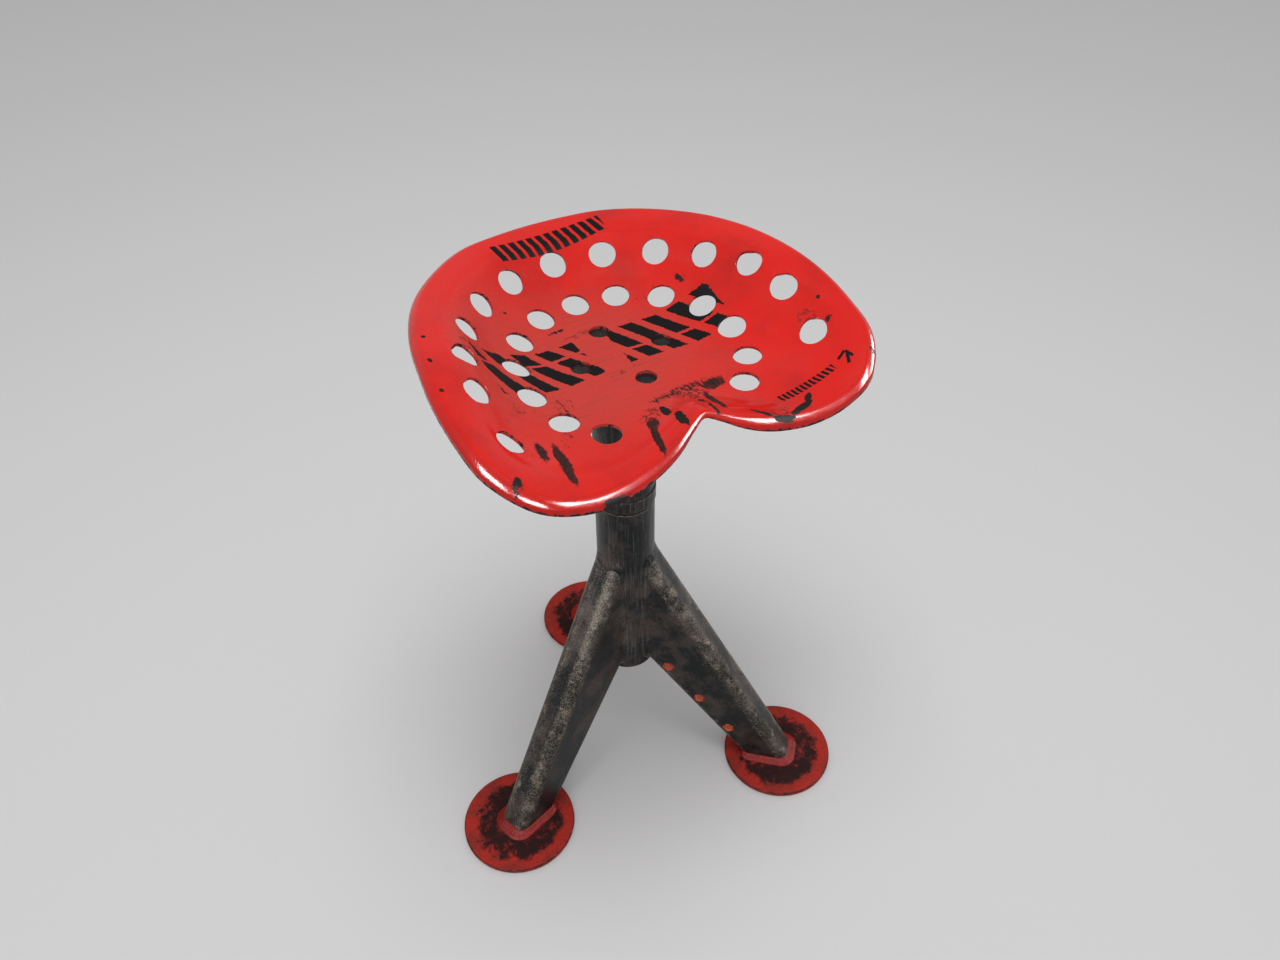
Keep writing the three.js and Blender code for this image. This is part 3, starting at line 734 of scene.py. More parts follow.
@dataclass(frozen=True)
class BlackSteel(Finish):
    """Blackened, oiled steel with brown and grey flecks, rubbed lighter along its edges."""

    name: str = "black steel"
    dark: Colour = (0.009, 0.0105, 0.012)
    brown: Colour = (0.055, 0.042, 0.036)
    olive: Colour = (0.25, 0.20, 0.115)
    grey: Colour = (0.14, 0.135, 0.13)
    rust: Colour = (0.12, 0.052, 0.03)
    light: Colour = (0.18, 0.165, 0.135)
    splash: Colour = (0.42, 0.075, 0.03)
    speck: Colour = (0.15, 0.125, 0.09)
    streaks: float = 0.8
    cover: float = 0.1
    metallic: float = 0.45
    cloud_scale: float = 0.024
    grain_scale: float = 0.6
    fleck_scale: float = 0.5
    break_scale: float = 1.5
    drawn_scale: Triple = (0.5, 0.5, 0.022)
    rust_shift: Triple = (90.0, 40.0, 10.0)
    rust_strength: float = 0.6
    rub_strength: float = 0.5
    splash_strength: float = 0.85
    roughness: Pair = (0.3, 0.44)
    marked_roughness: float = 0.74
    mirror: float = 0.2
    relief: float = 0.5

    def dress(self, tree: Tree) -> None:
        """Adds the steel with the streaks it was drawn with, flecks, rust, rubbed edges and paint splashes.

        Args:
            tree: The material's tree.
        """
        clouds = tree.noise(self.cloud_scale, 7.0, 0.66)
        grain = tree.noise(self.grain_scale, 7.0, 0.7)
        lie = tree.attribute("lie", "Vector")
        drawn = tree.drawn(self.drawn_scale, 6.0, 0.66, lie)
        edge = tree.attribute("edge")
        colour = tree.mix(tree.step(clouds, 0.44, 0.62), self.dark, self.brown)
        colour = tree.mix(tree.step(drawn, 0.48, 0.78, 0.0, self.streaks), colour, self.grey)
        colour = tree.mix(tree.step(grain, 0.54, 0.34, 0.0, 0.75), colour, self.dark)
        specks = tree.step(tree.scaled(edge, 0.14, grain), 0.6, 0.72, 0.0, 0.55)
        colour = tree.mix(specks, colour, self.speck)
        crest = tree.scaled(edge, 0.36, self.cover)
        flecks = Effect.use(tree, "flecks", Scale=self.fleck_scale, Cover=crest)
        broken = tree.step(tree.noise(self.break_scale, 3.0), 0.44, 0.58)
        flecks = tree.times(flecks, broken)
        olive = tree.mix(tree.step(clouds, 0.4, 0.6), self.olive, self.light)
        colour = tree.mix(tree.times(flecks, 0.92), colour, olive)
        moved = tree.vector("ADD", tree.place, self.rust_shift)
        rust = Effect.use(tree, "flecks", Vector=moved, Scale=self.fleck_scale, Cover=self.cover + 0.02)
        colour = tree.mix(tree.times(rust, self.rust_strength), colour, self.rust)
        rubbed = Effect.use(tree, "worn edge", Edge=edge, Reach=0.42, Scale=0.14)
        colour = tree.mix(tree.times(rubbed, self.rub_strength), colour, self.light)
        splash = tree.step(tree.scaled(grain, 0.5, tree.attribute("splash")), 0.8, 0.95)
        colour = tree.mix(tree.times(splash, self.splash_strength), colour, self.splash)
        marked = tree.larger(flecks, tree.larger(rust, splash))
        rough = tree.blend(marked, tree.step(clouds, 0.35, 0.7, *self.roughness), self.marked_roughness)
        metal = tree.blend(marked, self.metallic, 0.0)
        relief = tree.scaled(flecks, 0.3, tree.times(grain, 0.7))
        relief = tree.scaled(clouds, 1.6, relief)
        inputs = {"Base Color": colour, "Roughness": rough, "Metallic": metal,
                  "Specular IOR Level": self.mirror}
        self.close(tree, inputs, relief, self.relief)


@dataclass(frozen=True)
class TurnedMetal(Finish):
    """Machined metal with fine rings from the lathe and a film of oil."""

    name: str = "turned steel"
    base: Colour = (0.42, 0.41, 0.39)
    stain: Colour = (0.2, 0.16, 0.12)
    # The rim's dark colour: oily dirt and painted shade of the slot under the collar.
    grime: Colour = (0.022, 0.019, 0.016)
    rim_grime: Pair = (0.9, 0.97)
    ring_scale: Triple = (0.02, 0.02, 2.4)
    stain_scale: float = 0.07
    roughness: Pair = (0.24, 0.42)
    metallic: float = 0.9
    relief: float = 0.0001

    def dress(self, tree: Tree) -> None:
        """Adds the metal with its rings, stains and its darkened rim: oily dirt, and painted shade where the
        thrust ring's rim sits in the slot under the collar.

        Args:
            tree: The material's tree.
        """
        rings = tree.drawn(self.ring_scale, 3.0, 0.6)
        stains = tree.noise(self.stain_scale, 5.0, 0.6)
        colour = tree.mix(tree.step(stains, 0.45, 0.7, 0.0, 0.7), self.base, self.stain)
        # Painted shade and dirt: the outer rim is darkened to the shade of the slot under the collar.
        colour = tree.mix(tree.step(tree.attribute("reach"), *self.rim_grime), colour, self.grime)
        rough = tree.step(rings, 0.3, 0.7, *self.roughness)
        inputs = {"Base Color": colour, "Roughness": rough, "Metallic": self.metallic}
        self.close(tree, inputs, rings, self.relief)


@dataclass(frozen=True)
class PaleFloor(Finish):
    """The plain pale floor."""

    name: str = "pale floor"
    tone: Colour = (0.68, 0.68, 0.685)
    roughness: float = 0.85

    def plain(self) -> bpy.types.Material:
        """Builds the material, which is the same all over the floor.

        Returns:
            The material.
        """
        material, tree = self.start()
        inputs = {"Base Color": rgba(self.tone), "Roughness": self.roughness, "Specular IOR Level": 0.0}
        self.close(tree, inputs)
        return material


@dataclass
class Shape:
    """A mesh in the making: points in millimetres from the pedestal's axis, faces and masks."""

    points: np.ndarray
    faces: Faces
    masks: dict[str, np.ndarray]

    def turned(self, degrees: float) -> Shape:
        """Turns the points about the pedestal's axis, anticlockwise from above."""
        turn = np.array(Matrix.Rotation(math.radians(degrees), 3, "Z"))
        return Shape(self.points @ turn.T, self.faces, self.masks)

    def build(self, name: str, centre: Vector, material: bpy.types.Material) -> bpy.types.Object:
        """Makes the object.

        Args:
            name: The object's name.
            centre: The pedestal's axis, in metres.
            material: Its finish.

        Returns:
            The object, smooth shaded.
        """
        mesh = bpy.data.meshes.new(name)
        places = self.points * MM + np.array(centre)
        mesh.from_pydata(places.tolist(), [], self.faces)
        for label, values in self.masks.items():
            kind, field = ("FLOAT_VECTOR", "vector") if values.ndim == 2 else ("FLOAT", "value")
            mask = mesh.attributes.new(label, kind, "POINT")
            mask.data.foreach_set(field, values.astype(np.float32).ravel())
        mesh.materials.append(material)
        mesh.polygons.foreach_set("use_smooth", [True] * len(mesh.polygons))
        mesh.update()
        piece = bpy.data.objects.new(name, mesh)
        bpy.context.scene.collection.objects.link(piece)
        return piece


def grid_faces(rows: int, columns: int, close_rows: bool = False) -> Faces:
    """Faces of a grid whose columns go round and join.

    Args:
        rows: How many rings of points.
        columns: Points in each ring.
        close_rows: Whether the last ring joins the first.

    Returns:
        The faces, four points each.
    """
    faces = []
    for row in range(rows if close_rows else rows - 1):
        below, above = row * columns, (row + 1) % rows * columns
        for k in range(columns):
            side = (k + 1) % columns
            faces.append((below + k, below + side, above + side, above + k))
    return faces


def end_fans(rows: int, columns: int) -> Faces:
    """Faces that close a grid's first and last rings, each round a hub.

    Args:
        rows: How many rings of points.
        columns: Points in each ring.

    Returns:
        The faces. The two hubs come straight after the grid's points.
    """
    last, hub = (rows - 1) * columns, rows * columns
    faces = []
    for k in range(columns):
        side = (k + 1) % columns
        faces.append((hub, side, k))
        faces.append((hub + 1, last + k, last + side))
    return faces


def facing_out(points: np.ndarray, faces: Faces) -> Faces:
    """Turns a closed mesh's faces outward.

    Args:
        points: The mesh's points.
        faces: Its faces, all wound alike.

    Returns:
        The faces, outward.
    """
    volume = 0.0
    for face in faces:
        a = points[face[0]]
        for k in range(1, len(face) - 1):
            volume += a @ np.cross(points[face[k]], points[face[k + 1]])
    return faces if volume > 0 else [tuple(reversed(face)) for face in faces]


def unit(vectors: np.ndarray) -> np.ndarray:
    """Gives vectors the length 1."""
    return vectors / np.linalg.norm(vectors, axis=-1, keepdims=True)


def ways_round(line: np.ndarray) -> np.ndarray:
    """How far along a closed line each of its places lies, with its whole length last."""
    ring = np.vstack([line, line[:1]])
    return np.r_[0, np.cumsum(np.linalg.norm(np.diff(ring, axis=0), axis=1))]


def read_round(values: np.ndarray, ways: np.ndarray, stations: np.ndarray) -> np.ndarray:
    """Reads vectors, given at a closed line's places, at stations along it.

    Args:
        values: A vector at each place.
        ways: How far along each place lies, as ways_round gives it.
        stations: How far along they are read.

    Returns:
        A vector at each station.
    """
    ring = np.vstack([values, values[:1]])
    return np.column_stack([np.interp(stations, ways, ring[:, k]) for k in range(3)])


def round_size(node: str) -> Triple:
    """A round node's radius, bottom and top, in millimetres."""
    low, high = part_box(node)
    return min(high.x - low.x, high.y - low.y) / 2 / MM, low.z / MM, high.z / MM


@dataclass
class Turning:
    """A turned piece: an outline of [radius, height] points with rounded corners, revolved."""

    outline: Outline
    rounding: float = 0.6
    sides: int = 96
    stretch: float = 9.0
    fringe: float = 2.4
    corner_wear: tuple[float, ...] = (0.7, 1.0, 1.0, 1.0, 0.7)
    fringe_wear: float = 0.2
    corner_share: float = 0.4
    last_stretch: float = 0.7

    @property
    def hollow(self) -> bool:
        """Whether the outline stays clear of the axis."""
        return min(self.outline)[0] > 0

    def rounded(self) -> list[tuple[np.ndarray, float]]:
        """Rounds the outline's corners.

        Returns:
            The profile's points, each with its wear, 1 on the corners.
        """
        corners = np.array(self.outline)
        profile = []
        for k, corner in enumerate(corners):
            if not self.hollow and k in (0, len(corners) - 1):
                profile.append((corner, 0.0))
                continue
            before, after = corners[k - 1] - corner, corners[(k + 1) % len(corners)] - corner
            shorter = min(np.linalg.norm(before), np.linalg.norm(after))
            reach = min(self.rounding, shorter * self.corner_share)
            start, end = corner + unit(before) * reach, corner + unit(after) * reach
            for share, wear in zip(np.linspace(0, 1, len(self.corner_wear)), self.corner_wear):
                place = (1 - share) ** 2 * start + 2 * share * (1 - share) * corner + share**2 * end
                profile.append((place, wear))
        return profile

    def profile(self) -> tuple[np.ndarray, np.ndarray]:
        """Divides the long runs between the rounded corners.

        Returns:
            The profile's points and their wear.
        """
        rounded = self.rounded()
        points, wear = [], []
        for k, (place, worn) in enumerate(rounded):
            points.append(place)
            wear.append(worn)
            if k == len(rounded) - 1 and not self.hollow:
                break
            run = rounded[(k + 1) % len(rounded)][0] - place
            length = np.linalg.norm(run)
            if length < 2 * self.fringe:
                continue
            middle = np.arange(self.stretch, length - self.stretch * self.last_stretch, self.stretch)
            ways = [self.fringe, *middle, length - self.fringe]
            for way in ways:
                points.append(place + run / length * way)
                wear.append(self.fringe_wear if way in (ways[0], ways[-1]) else 0.0)
        return np.array(points), np.array(wear)

    def shape(self) -> Shape:
        """Revolves the outline.

        Returns:
            The closed shape, with the masks edge, reach (the share of its largest radius) and lie.
        """
        profile, wear = self.profile()
        body, worn = (profile, wear) if self.hollow else (profile[1:-1], wear[1:-1])
        turns = np.linspace(0, 2 * math.pi, self.sides, endpoint=False)
        across, along = np.cos(turns), np.sin(turns)
        rings = [np.column_stack([r * across, r * along, np.full(self.sides, z)]) for r, z in body]
        points = np.vstack(rings)
        faces = grid_faces(len(body), self.sides, self.hollow)
        edge = np.repeat(worn, self.sides)
        if not self.hollow:
            faces += end_fans(len(body), self.sides)
            points = np.vstack([points, [0, 0, profile[0, 1]], [0, 0, profile[-1, 1]]])
            edge = np.append(edge, [0.0, 0.0])
        reach = np.hypot(points[:, 0], points[:, 1]) / profile[:, 0].max()
        return Shape(points, facing_out(points, faces), {"edge": edge, "reach": reach, "lie": points.copy()})


@dataclass
class Bead:
    """A weld bead along a closed line, with the ripples of its stacked puddles.

    Each place on the line has the two directions that the bead spreads in. It sinks a little into what it
    joins, as fused metal does.
    """

    corners: np.ndarray
    spreads: np.ndarray
    climbs: np.ndarray
    size: float
    pitch: float = 3.2
    step: float = 0.8
    depth: float = 0.12
    sink: float = 0.9
    flattening: float = 0.2
    slant: float = 0.7
    wander: float = 0.1
    wander_scale: float = 0.11
    ripple_wear: float = 0.6
    rows: int = 9

    def shape(self) -> Shape:
        """Lays the bead.

        Returns:
            The closed shape, with the masks edge, reach, splash and lie.
        """
        ways = ways_round(self.corners)
        count = int(ways[-1] / self.step)
        stations = np.linspace(0, ways[-1], count, endpoint=False)
        lines = (self.corners, self.spreads, self.climbs)
        corners, spreads, climbs = (read_round(line, ways, stations) for line in lines)
        phase = stations / ways[-1] * round(ways[-1] / self.pitch) * math.pi
        wander = np.array([noise.noise(Vector(place) * self.wander_scale) for place in corners])
        thickness = 1 + self.wander * (wander - 0.5)
        under, edge = self.sink * climbs, self.sink * spreads
        rows = [corners - under - edge, corners - under + spreads * self.size]
        ripples = [np.zeros(count), np.zeros(count)]
        for turn in np.linspace(0, math.pi / 2, self.rows):
            middle = math.sin(2 * turn)
            ripple = np.abs(np.sin(phase + self.slant * middle))
            crown = 1 - self.flattening * middle**2
            size = self.size * crown * (thickness - self.depth * ripple * middle)
            rows.append(corners + (np.cos(turn) * spreads + np.sin(turn) * climbs) * size[:, None])
            ripples.append(1 - ripple)
        rows.append(corners - edge + climbs * self.size)
        ripples.append(np.zeros(count))
        points = np.stack(rows, axis=1).reshape(-1, 3)
        blank = np.zeros(len(points))
        # The edge mask is high on the ripples' crests: worn paint there, and on the foot beads also the
        # painted highlight.
        masks = {"edge": np.stack(ripples, axis=1).reshape(-1) * self.ripple_wear, "reach": blank,
                 "splash": blank, "lie": points.copy()}
        return Shape(points, facing_out(points, grid_faces(count, len(rows), True)), masks)


@dataclass(frozen=True)
class SeatForm:
    """The seat pan's form, as the model has it, in millimetres and shares."""

    height: float = 553.0
    sheet: float = 3.0
    half_width: float = 183.0
    rear_reach: float = 176.0
    front_reach: float = 147.0
    rise: float = 57.0
    flat_radius: float = 58.0
    roll_radius: float = 9.0
    roll_drop: float = 4.0
    notch_half_width: float = 34.0
    notch_roll: float = 0.45
    lobe_sine: float = -0.55
    lobe_spread: float = 0.3
    row_hole: float = 26.0
    mount_hole: float = 19.0
    mount_circle: float = 83.0
    mount_holes: int = 4
    crest_steps: int = 40
    wall_steps: int = 12
    rim_shares: tuple[Triple, ...] = (
        (0, 1, 0.82), (0.21, 0.98, 0.83), (0.4, 0.925, 0.86), (0.6, 0.77, 0.92), (0.79, 0.54, 0.97),
        (0.91, 0.27, 1), (0.97, 0, 0.98), (1, -0.27, 0.88), (1, -0.54, 0.72), (0.97, -0.78, 0.54),
        (0.845, -0.97, 0.26), (0.69, -1.01, 0.06), (0.52, -1.005, -0.02), (0.35, -0.975, 0.03),
        (0.19, -0.94, 0.16), (0.08, -0.895, 0.28), (0, -0.865, 0.35),
    )
    wall_shares: tuple[Pair, ...] = (
        (0, 0), (0.13, 0.025), (0.25, 0.105), (0.35, 0.2), (0.45, 0.3), (0.55, 0.465), (0.65, 0.69),
        (0.74, 0.86), (0.83, 0.93), (0.92, 0.97), (1, 1),
    )
    lobe_wall_shares: tuple[Pair, ...] = (
        (0, 0), (0.13, 0), (0.25, 0.035), (0.35, 0.07), (0.45, 0.11), (0.55, 0.16), (0.65, 0.27),
        (0.74, 0.47), (0.83, 0.71), (0.92, 0.9), (1, 1),
    )
    outer_row: tuple[Pair, ...] = (
        (0, 0.732), (0.268, 0.683), (0.498, 0.518), (0.663, 0.301), (0.772, 0.051), (0.824, -0.183),
        (0.812, -0.464),
    )
    inner_row: tuple[Pair, ...] = (
        (0, 0.49), (0.218, 0.453), (0.406, 0.303), (0.525, 0.09), (0.554, -0.14), (0.502, -0.358),
        (0.374, -0.52),
    )


class SeatSurface:
    """The seat pan's upper face as formulas, in millimetres from the pedestal's axis."""

    def __init__(self, form: SeatForm) -> None:
        """Works out the crest and the walls' rise.

        Args:
            form: The pan's form.
        """
        self.form = form
        half = [self.rim_place(share, 1) for share in form.rim_shares]
        other = [self.rim_place(share, -1) for share in form.rim_shares[1:-1][::-1]]
        self.crest = self.smooth_loop(np.array(half + other), form.crest_steps)
        angles = np.arctan2(self.crest[:, 1], self.crest[:, 0])
        order = np.argsort(angles)
        self.angles = angles[order]
        self.radii = np.hypot(self.crest[:, 0], self.crest[:, 1])[order]
        self.heights = self.crest[order, 2]
        self.wall = self.smooth_line(np.array(form.wall_shares), form.wall_steps)
        self.lobe_wall = self.smooth_line(np.array(form.lobe_wall_shares), form.wall_steps)

    def rim_place(self, share: Triple, mirror: int) -> Triple:
        """Turns one of the rim's shares into a place.

        Args:
            share: Side, rear (minus is front) and rise.
            mirror: 1 for the right half and -1 for the left.

        Returns:
            The place on the crest.
        """
        side, rear, rise = share
        reach = self.form.rear_reach if rear > 0 else self.form.front_reach
        return mirror * side * self.form.half_width, rear * reach, self.form.height + rise * self.form.rise

    @staticmethod
    def smooth_loop(knots: np.ndarray, steps: int) -> np.ndarray:
        """A smooth closed curve through knots, with steps of even share between them.

        Args:
            knots: The places that it passes.
            steps: Steps from knot to knot.

        Returns:
            Its points.
        """
        count = len(knots)
        points = []
        for k in range(count):
            a, b, c, d = (knots[(k + offset) % count] for offset in (-1, 0, 1, 2))
            spans = [math.sqrt(np.linalg.norm(q - p)) for p, q in ((a, b), (b, c), (c, d))]
            start = ((b - a) / spans[0] - (c - a) / (spans[0] + spans[1]) + (c - b) / spans[1]) * spans[1]
            end = ((c - b) / spans[1] - (d - b) / (spans[1] + spans[2]) + (d - c) / spans[2]) * spans[1]
            for t in np.linspace(0, 1, steps, endpoint=False):
                cubic = (2 * t**3 - 3 * t**2 + 1) * b + (t**3 - 2 * t**2 + t) * start
                points.append(cubic + (3 * t**2 - 2 * t**3) * c + (t**3 - t**2) * end)
        return np.array(points)

    @staticmethod
    def smooth_line(knots: np.ndarray, steps: int) -> np.ndarray:
        """A smooth open curve through knots.

        Args:
            knots: The places that it passes.
            steps: Steps from knot to knot.

        Returns:
            Its points.
        """
        last = len(knots) - 1
        points = []
        for k in range(last):
            a, b, c, d = (knots[min(max(k + offset, 0), last)] for offset in (-1, 0, 1, 2))
            start, end = (c - a) / 2, (d - b) / 2
            for t in np.linspace(0, 1, steps, endpoint=False):
                cubic = (2 * b - 2 * c + start + end) * t**3 + (3 * c - 3 * b - 2 * start - end) * t**2
                points.append(cubic + start * t + b)
        return np.array([*points, knots[-1]])

    def spoke_ends(self, count: int) -> np.ndarray:
        """A number of places on the crest, at even distances along it."""
        ways = ways_round(self.crest)
        return read_round(self.crest, ways, np.linspace(0, ways[-1], count, endpoint=False))

    def out_share(self, x: np.ndarray, y: np.ndarray) -> np.ndarray:
        """Share of the way from the flat bottom to the crest."""
        radius = np.interp(np.arctan2(y, x), self.angles, self.radii, period=2 * math.pi)
        return (np.hypot(x, y) - self.form.flat_radius) / (radius - self.form.flat_radius)

    def rise_share(self, out: np.ndarray, angle: np.ndarray) -> np.ndarray:
        """Share of the wall's rise, which is lower in the lobes.

        Args:
            out: The share of the way out.
            angle: The direction from the middle, in radians.

        Returns:
            The share, 1 at the crest.
        """
        lobe = np.exp(-(((np.sin(angle) - self.form.lobe_sine) / self.form.lobe_spread) ** 2))
        wall = np.interp(out, self.wall[:, 0], self.wall[:, 1])
        return wall + lobe * (np.interp(out, self.lobe_wall[:, 0], self.lobe_wall[:, 1]) - wall)

    def height(self, x: np.ndarray, y: np.ndarray) -> np.ndarray:
        """Height of the upper face.

        Args:
            x: Places to the side.
            y: Places to the rear.

        Returns:
            The height at each place.
        """
        angle = np.arctan2(y, x)
        crest = np.interp(angle, self.angles, self.heights, period=2 * math.pi)
        return self.form.height + self.rise_share(self.out_share(x, y), angle) * (crest - self.form.height)

    def normal(self, x: float, y: float) -> np.ndarray:
        """Outward direction of the upper face.

        Args:
            x: A place's side.
            y: Its rear.

        Returns:
            The direction, of length 1.
        """
        step = self.form.sheet / 2
        along_x = (self.height(x + step, y) - self.height(x - step, y)) / (2 * step)
        along_y = (self.height(x, y + step) - self.height(x, y - step)) / (2 * step)
        return unit(np.array([-along_x, -along_y, 1.0]))


def inside(points: np.ndarray, outline: np.ndarray) -> np.ndarray:
    """Tests which points lie inside a closed outline.

    Args:
        points: Places in a plane.
        outline: The outline's corners.

    Returns:
        True for each place inside.
    """
    x, y = points[:, 0:1], points[:, 1:2]
    x0, y0 = outline[:, 0], outline[:, 1]
    x1, y1 = np.roll(x0, -1), np.roll(y0, -1)
    spans = (y0 > y) != (y1 > y)
    rise = np.where(y1 == y0, 1e-12, y1 - y0)
    crossings = spans & (x < (x1 - x0) * (y - y0) / rise + x0)
    return crossings.sum(axis=1) % 2 == 1


@dataclass
class SeatPan:
    """The pressed pan: a fine sheet with square punched holes, thickened and eased at its edges."""

    surface: SeatSurface
    spokes: int = 264
    spacing: float = 4.6
    fewest: int = 8
    rows: int = 28
    wall_run: float = 115.0
    clear: float = 1.6
    weld_distance: float = 0.0001
    strip_share: float = 0.92
    strip_margin: float = 0.015
    strip_rows: int = 5
    strip_wear: float = 2.5
    roll_steps: int = 8
    roll_power: float = 1.3
    roll_wear: Pair = (0.1, 0.72)
    drop_shares: Pair = (0.4, 1.0)
    # How dark the drop below the roll is painted: worn paint and painted shade.
    drop_wear: Pair = (0.9, 0.1)
    hole_sides: int = 40
    hole_rounds: int = 12
    lips: tuple[Pair, ...] = ((0.0, 1.0), (1.6, 0.45), (4.0, 0.0))
    dent: float = 0.5
    dent_scale: float = 0.02
    edge_round: float = 0.5
    sharp_angle: float = 50.0
    steep: float = 0.35
    crease_share: float = 0.8
    crease_width: float = 0.022
    crease_depth: float = 0.9
    bowl_fade: float = 0.03

    def holes(self) -> list[Triple]:
        """Lists the holes of both rows and of the mounting circle.

        Returns:
            Each hole's place, seen from above, and its radius.
        """
        form = self.surface.form
        places = []
        for row in (form.outer_row, form.inner_row):
            for side, rear in row:
                for mirror in (1, -1) if side else (1,):
                    x, y = mirror * side * form.half_width, rear * form.rear_reach
                    places.append((x, y, form.row_hole / 2))
        for k in range(form.mount_holes):
            angle = k / form.mount_holes * 2 * math.pi
            reach = form.mount_circle / 2
            places.append((math.cos(angle) * reach, math.sin(angle) * reach, form.mount_hole / 2))
        return places

    def hole_ring(self, x: float, y: float, radius: float) -> np.ndarray:
        """A circle laid square to the sheet round a place, as seen from above.

        Args:
            x: The place's side.
            y: The place's rear.
            radius: The circle's radius.

        Returns:
            The circle's points.
        """
        normal = self.surface.normal(x, y)
        first = unit(np.cross(normal, (0.0, 1.0, 0.0)))
        second = np.cross(normal, first)
        turns = np.linspace(0, 2 * math.pi, self.hole_sides, endpoint=False)[:, None]
        centre = np.array([x, y, float(self.surface.height(x, y))])
        ring = centre + radius * (np.cos(turns) * first + np.sin(turns) * second)
        for _ in range(self.hole_rounds):
            gap = self.surface.height(ring[:, 0], ring[:, 1]) - ring[:, 2]
            ring += (gap * normal[2])[:, None] * normal
        return ring[:, :2]

    def field(self, holes: list[Triple]) -> np.ndarray:
        """Places spread over the pan between the holes.

        Args:
            holes: Places and radii of the holes.

        Returns:
            The places, seen from above.
        """
        flat = self.surface.form.flat_radius
        places = [(0.0, 0.0)]
        for radius in np.arange(self.spacing, flat, self.spacing):
            count = max(self.fewest, round(2 * math.pi * radius / self.spacing))
            turns = np.arange(count) * 2 * math.pi / count
            places += list(zip(radius * np.cos(turns), radius * np.sin(turns)))
        for row in range(self.rows):
            share = row / self.rows * self.strip_share
            count = round(2 * math.pi * (flat + share * self.wall_run) / self.spacing)
            turns = (np.arange(count) + row % 2 / 2) * 2 * math.pi / count
            limit = np.interp(turns, self.surface.angles, self.surface.radii, period=2 * math.pi)
            reach = flat + share * (limit - flat)
            places += list(zip(reach * np.cos(turns), reach * np.sin(turns)))
        places = np.array(places)
        x, y = places.T
        heights = self.surface.height(x, y)
        keep = self.surface.out_share(x, y) < self.strip_share - self.strip_margin
        for hole_x, hole_y, radius in holes:
            rise = heights - float(self.surface.height(hole_x, hole_y))
            away = np.sqrt((x - hole_x) ** 2 + (y - hole_y) ** 2 + rise**2)
            keep &= away > radius + self.lips[-1][0] + self.clear
        return places[keep]

    def strip(self, crest: np.ndarray) -> tuple[list[np.ndarray], list[float]]:
        """Rings over the last of the wall, up to the crest.

        Args:
            crest: The crest's places.

        Returns:
            The rings and each one's wear.
        """
        form = self.surface.form
        reach, angle = np.hypot(crest[:, 0], crest[:, 1]), np.arctan2(crest[:, 1], crest[:, 0])
        rows, wear = [], []
        for share in np.linspace(self.strip_share, 1.0, self.strip_rows):
            scale = (form.flat_radius + share * (reach - form.flat_radius)) / reach
            height = form.height + self.surface.rise_share(share, angle) * (crest[:, 2] - form.height)
            rows.append(np.column_stack([crest[:, 0] * scale, crest[:, 1] * scale, height]))
            wear.append((share - self.strip_share) * self.strip_wear)
        return rows, wear

    def rolled_edge(self, crest: np.ndarray) -> tuple[list[np.ndarray], list[float]]:
        """Rings from the crest down the rolled edge, which is narrow in the notch.

        Args:
            crest: The crest's places.

        Returns:
            The rings and each one's wear, 1 at the sheet's edge; the darkest rows, at the sheet's lower edge,
            stand for worn paint and painted shade under the roll.
        """
        form = self.surface.form
        ahead, behind = np.roll(crest, -1, axis=0), np.roll(crest, 1, axis=0)
        outward = unit(np.column_stack([ahead[:, 1] - behind[:, 1], behind[:, 0] - ahead[:, 0]]))
        outward *= np.sign((outward * crest[:, :2]).sum(axis=1))[:, None]
        notch = np.where(crest[:, 1] < 0, np.exp(-((crest[:, 0] / form.notch_half_width) ** 2)), 0)
        roll = 1 + notch * (form.notch_roll - 1)
        rows, wear = [], []
        for k in range(1, self.roll_steps + 1):
            turn = k / self.roll_steps * math.pi / 2
            out, down = math.sin(turn) ** self.roll_power, 1 - abs(math.cos(turn)) ** self.roll_power
            ring = crest.copy()
            ring[:, :2] += outward * (form.roll_radius * roll * out)[:, None]
            ring[:, 2] -= form.roll_radius * roll * down
            rows.append(ring)
            wear.append(self.roll_wear[0] + self.roll_wear[1] * (k / self.roll_steps) ** 2)
        foot = rows[-1]
        for share in self.drop_shares:
            rows.append(foot - np.column_stack([roll * 0, roll * 0, form.roll_drop * roll * share]))
            # Painted shade and wear: the drop's rows are darkest, for the worn lower edge and the shade under
            # the roll.
            wear.append(self.drop_wear[0] + self.drop_wear[1] * share)
        return rows, wear

    def net(self, border: np.ndarray) -> tuple[np.ndarray, Faces, np.ndarray, np.ndarray]:
        """Joins the border, the holes' rings and the places between them to a flat net.

        Args:
            border: The net's outer ring.

        Returns:
            The net's points, its faces, each point's wear at the holes, and which points the border has.
        """
        holes = self.holes()
        places, edges, wear, cuts = [*border], [], [0.0] * len(border), []
        edges += [(k, (k + 1) % len(border)) for k in range(len(border))]
        for x, y, radius in holes:
            cuts.append(self.hole_ring(x, y, radius))
            for reach, worn in self.lips:
                ring = self.hole_ring(x, y, radius + reach)
                first = len(places)
                places += [*ring]
                wear += [worn] * len(ring)
                edges += [(first + k, first + (k + 1) % len(ring)) for k in range(len(ring))]
        between = self.field(holes)
        places += [*between]
        wear += [0.0] * len(between)
        knots = [Vector(place) for place in places]
        points, _, faces, sources, *_ = delaunay_2d_cdt(knots, edges, [], 0, self.weld_distance)
        flat, faces = np.array([tuple(point) for point in points]), np.array(faces)
        middles = flat[faces].mean(axis=1)
        keep = inside(middles, border)
        for ring in cuts:
            keep &= ~inside(middles, ring)
        sources = [source[0] if source else 0 for source in sources]
        index = {source: k for k, source in enumerate(sources)}
        outer = np.array([index[k] for k in range(len(border))])
        return flat, faces[keep].tolist(), np.array(wear)[sources], outer

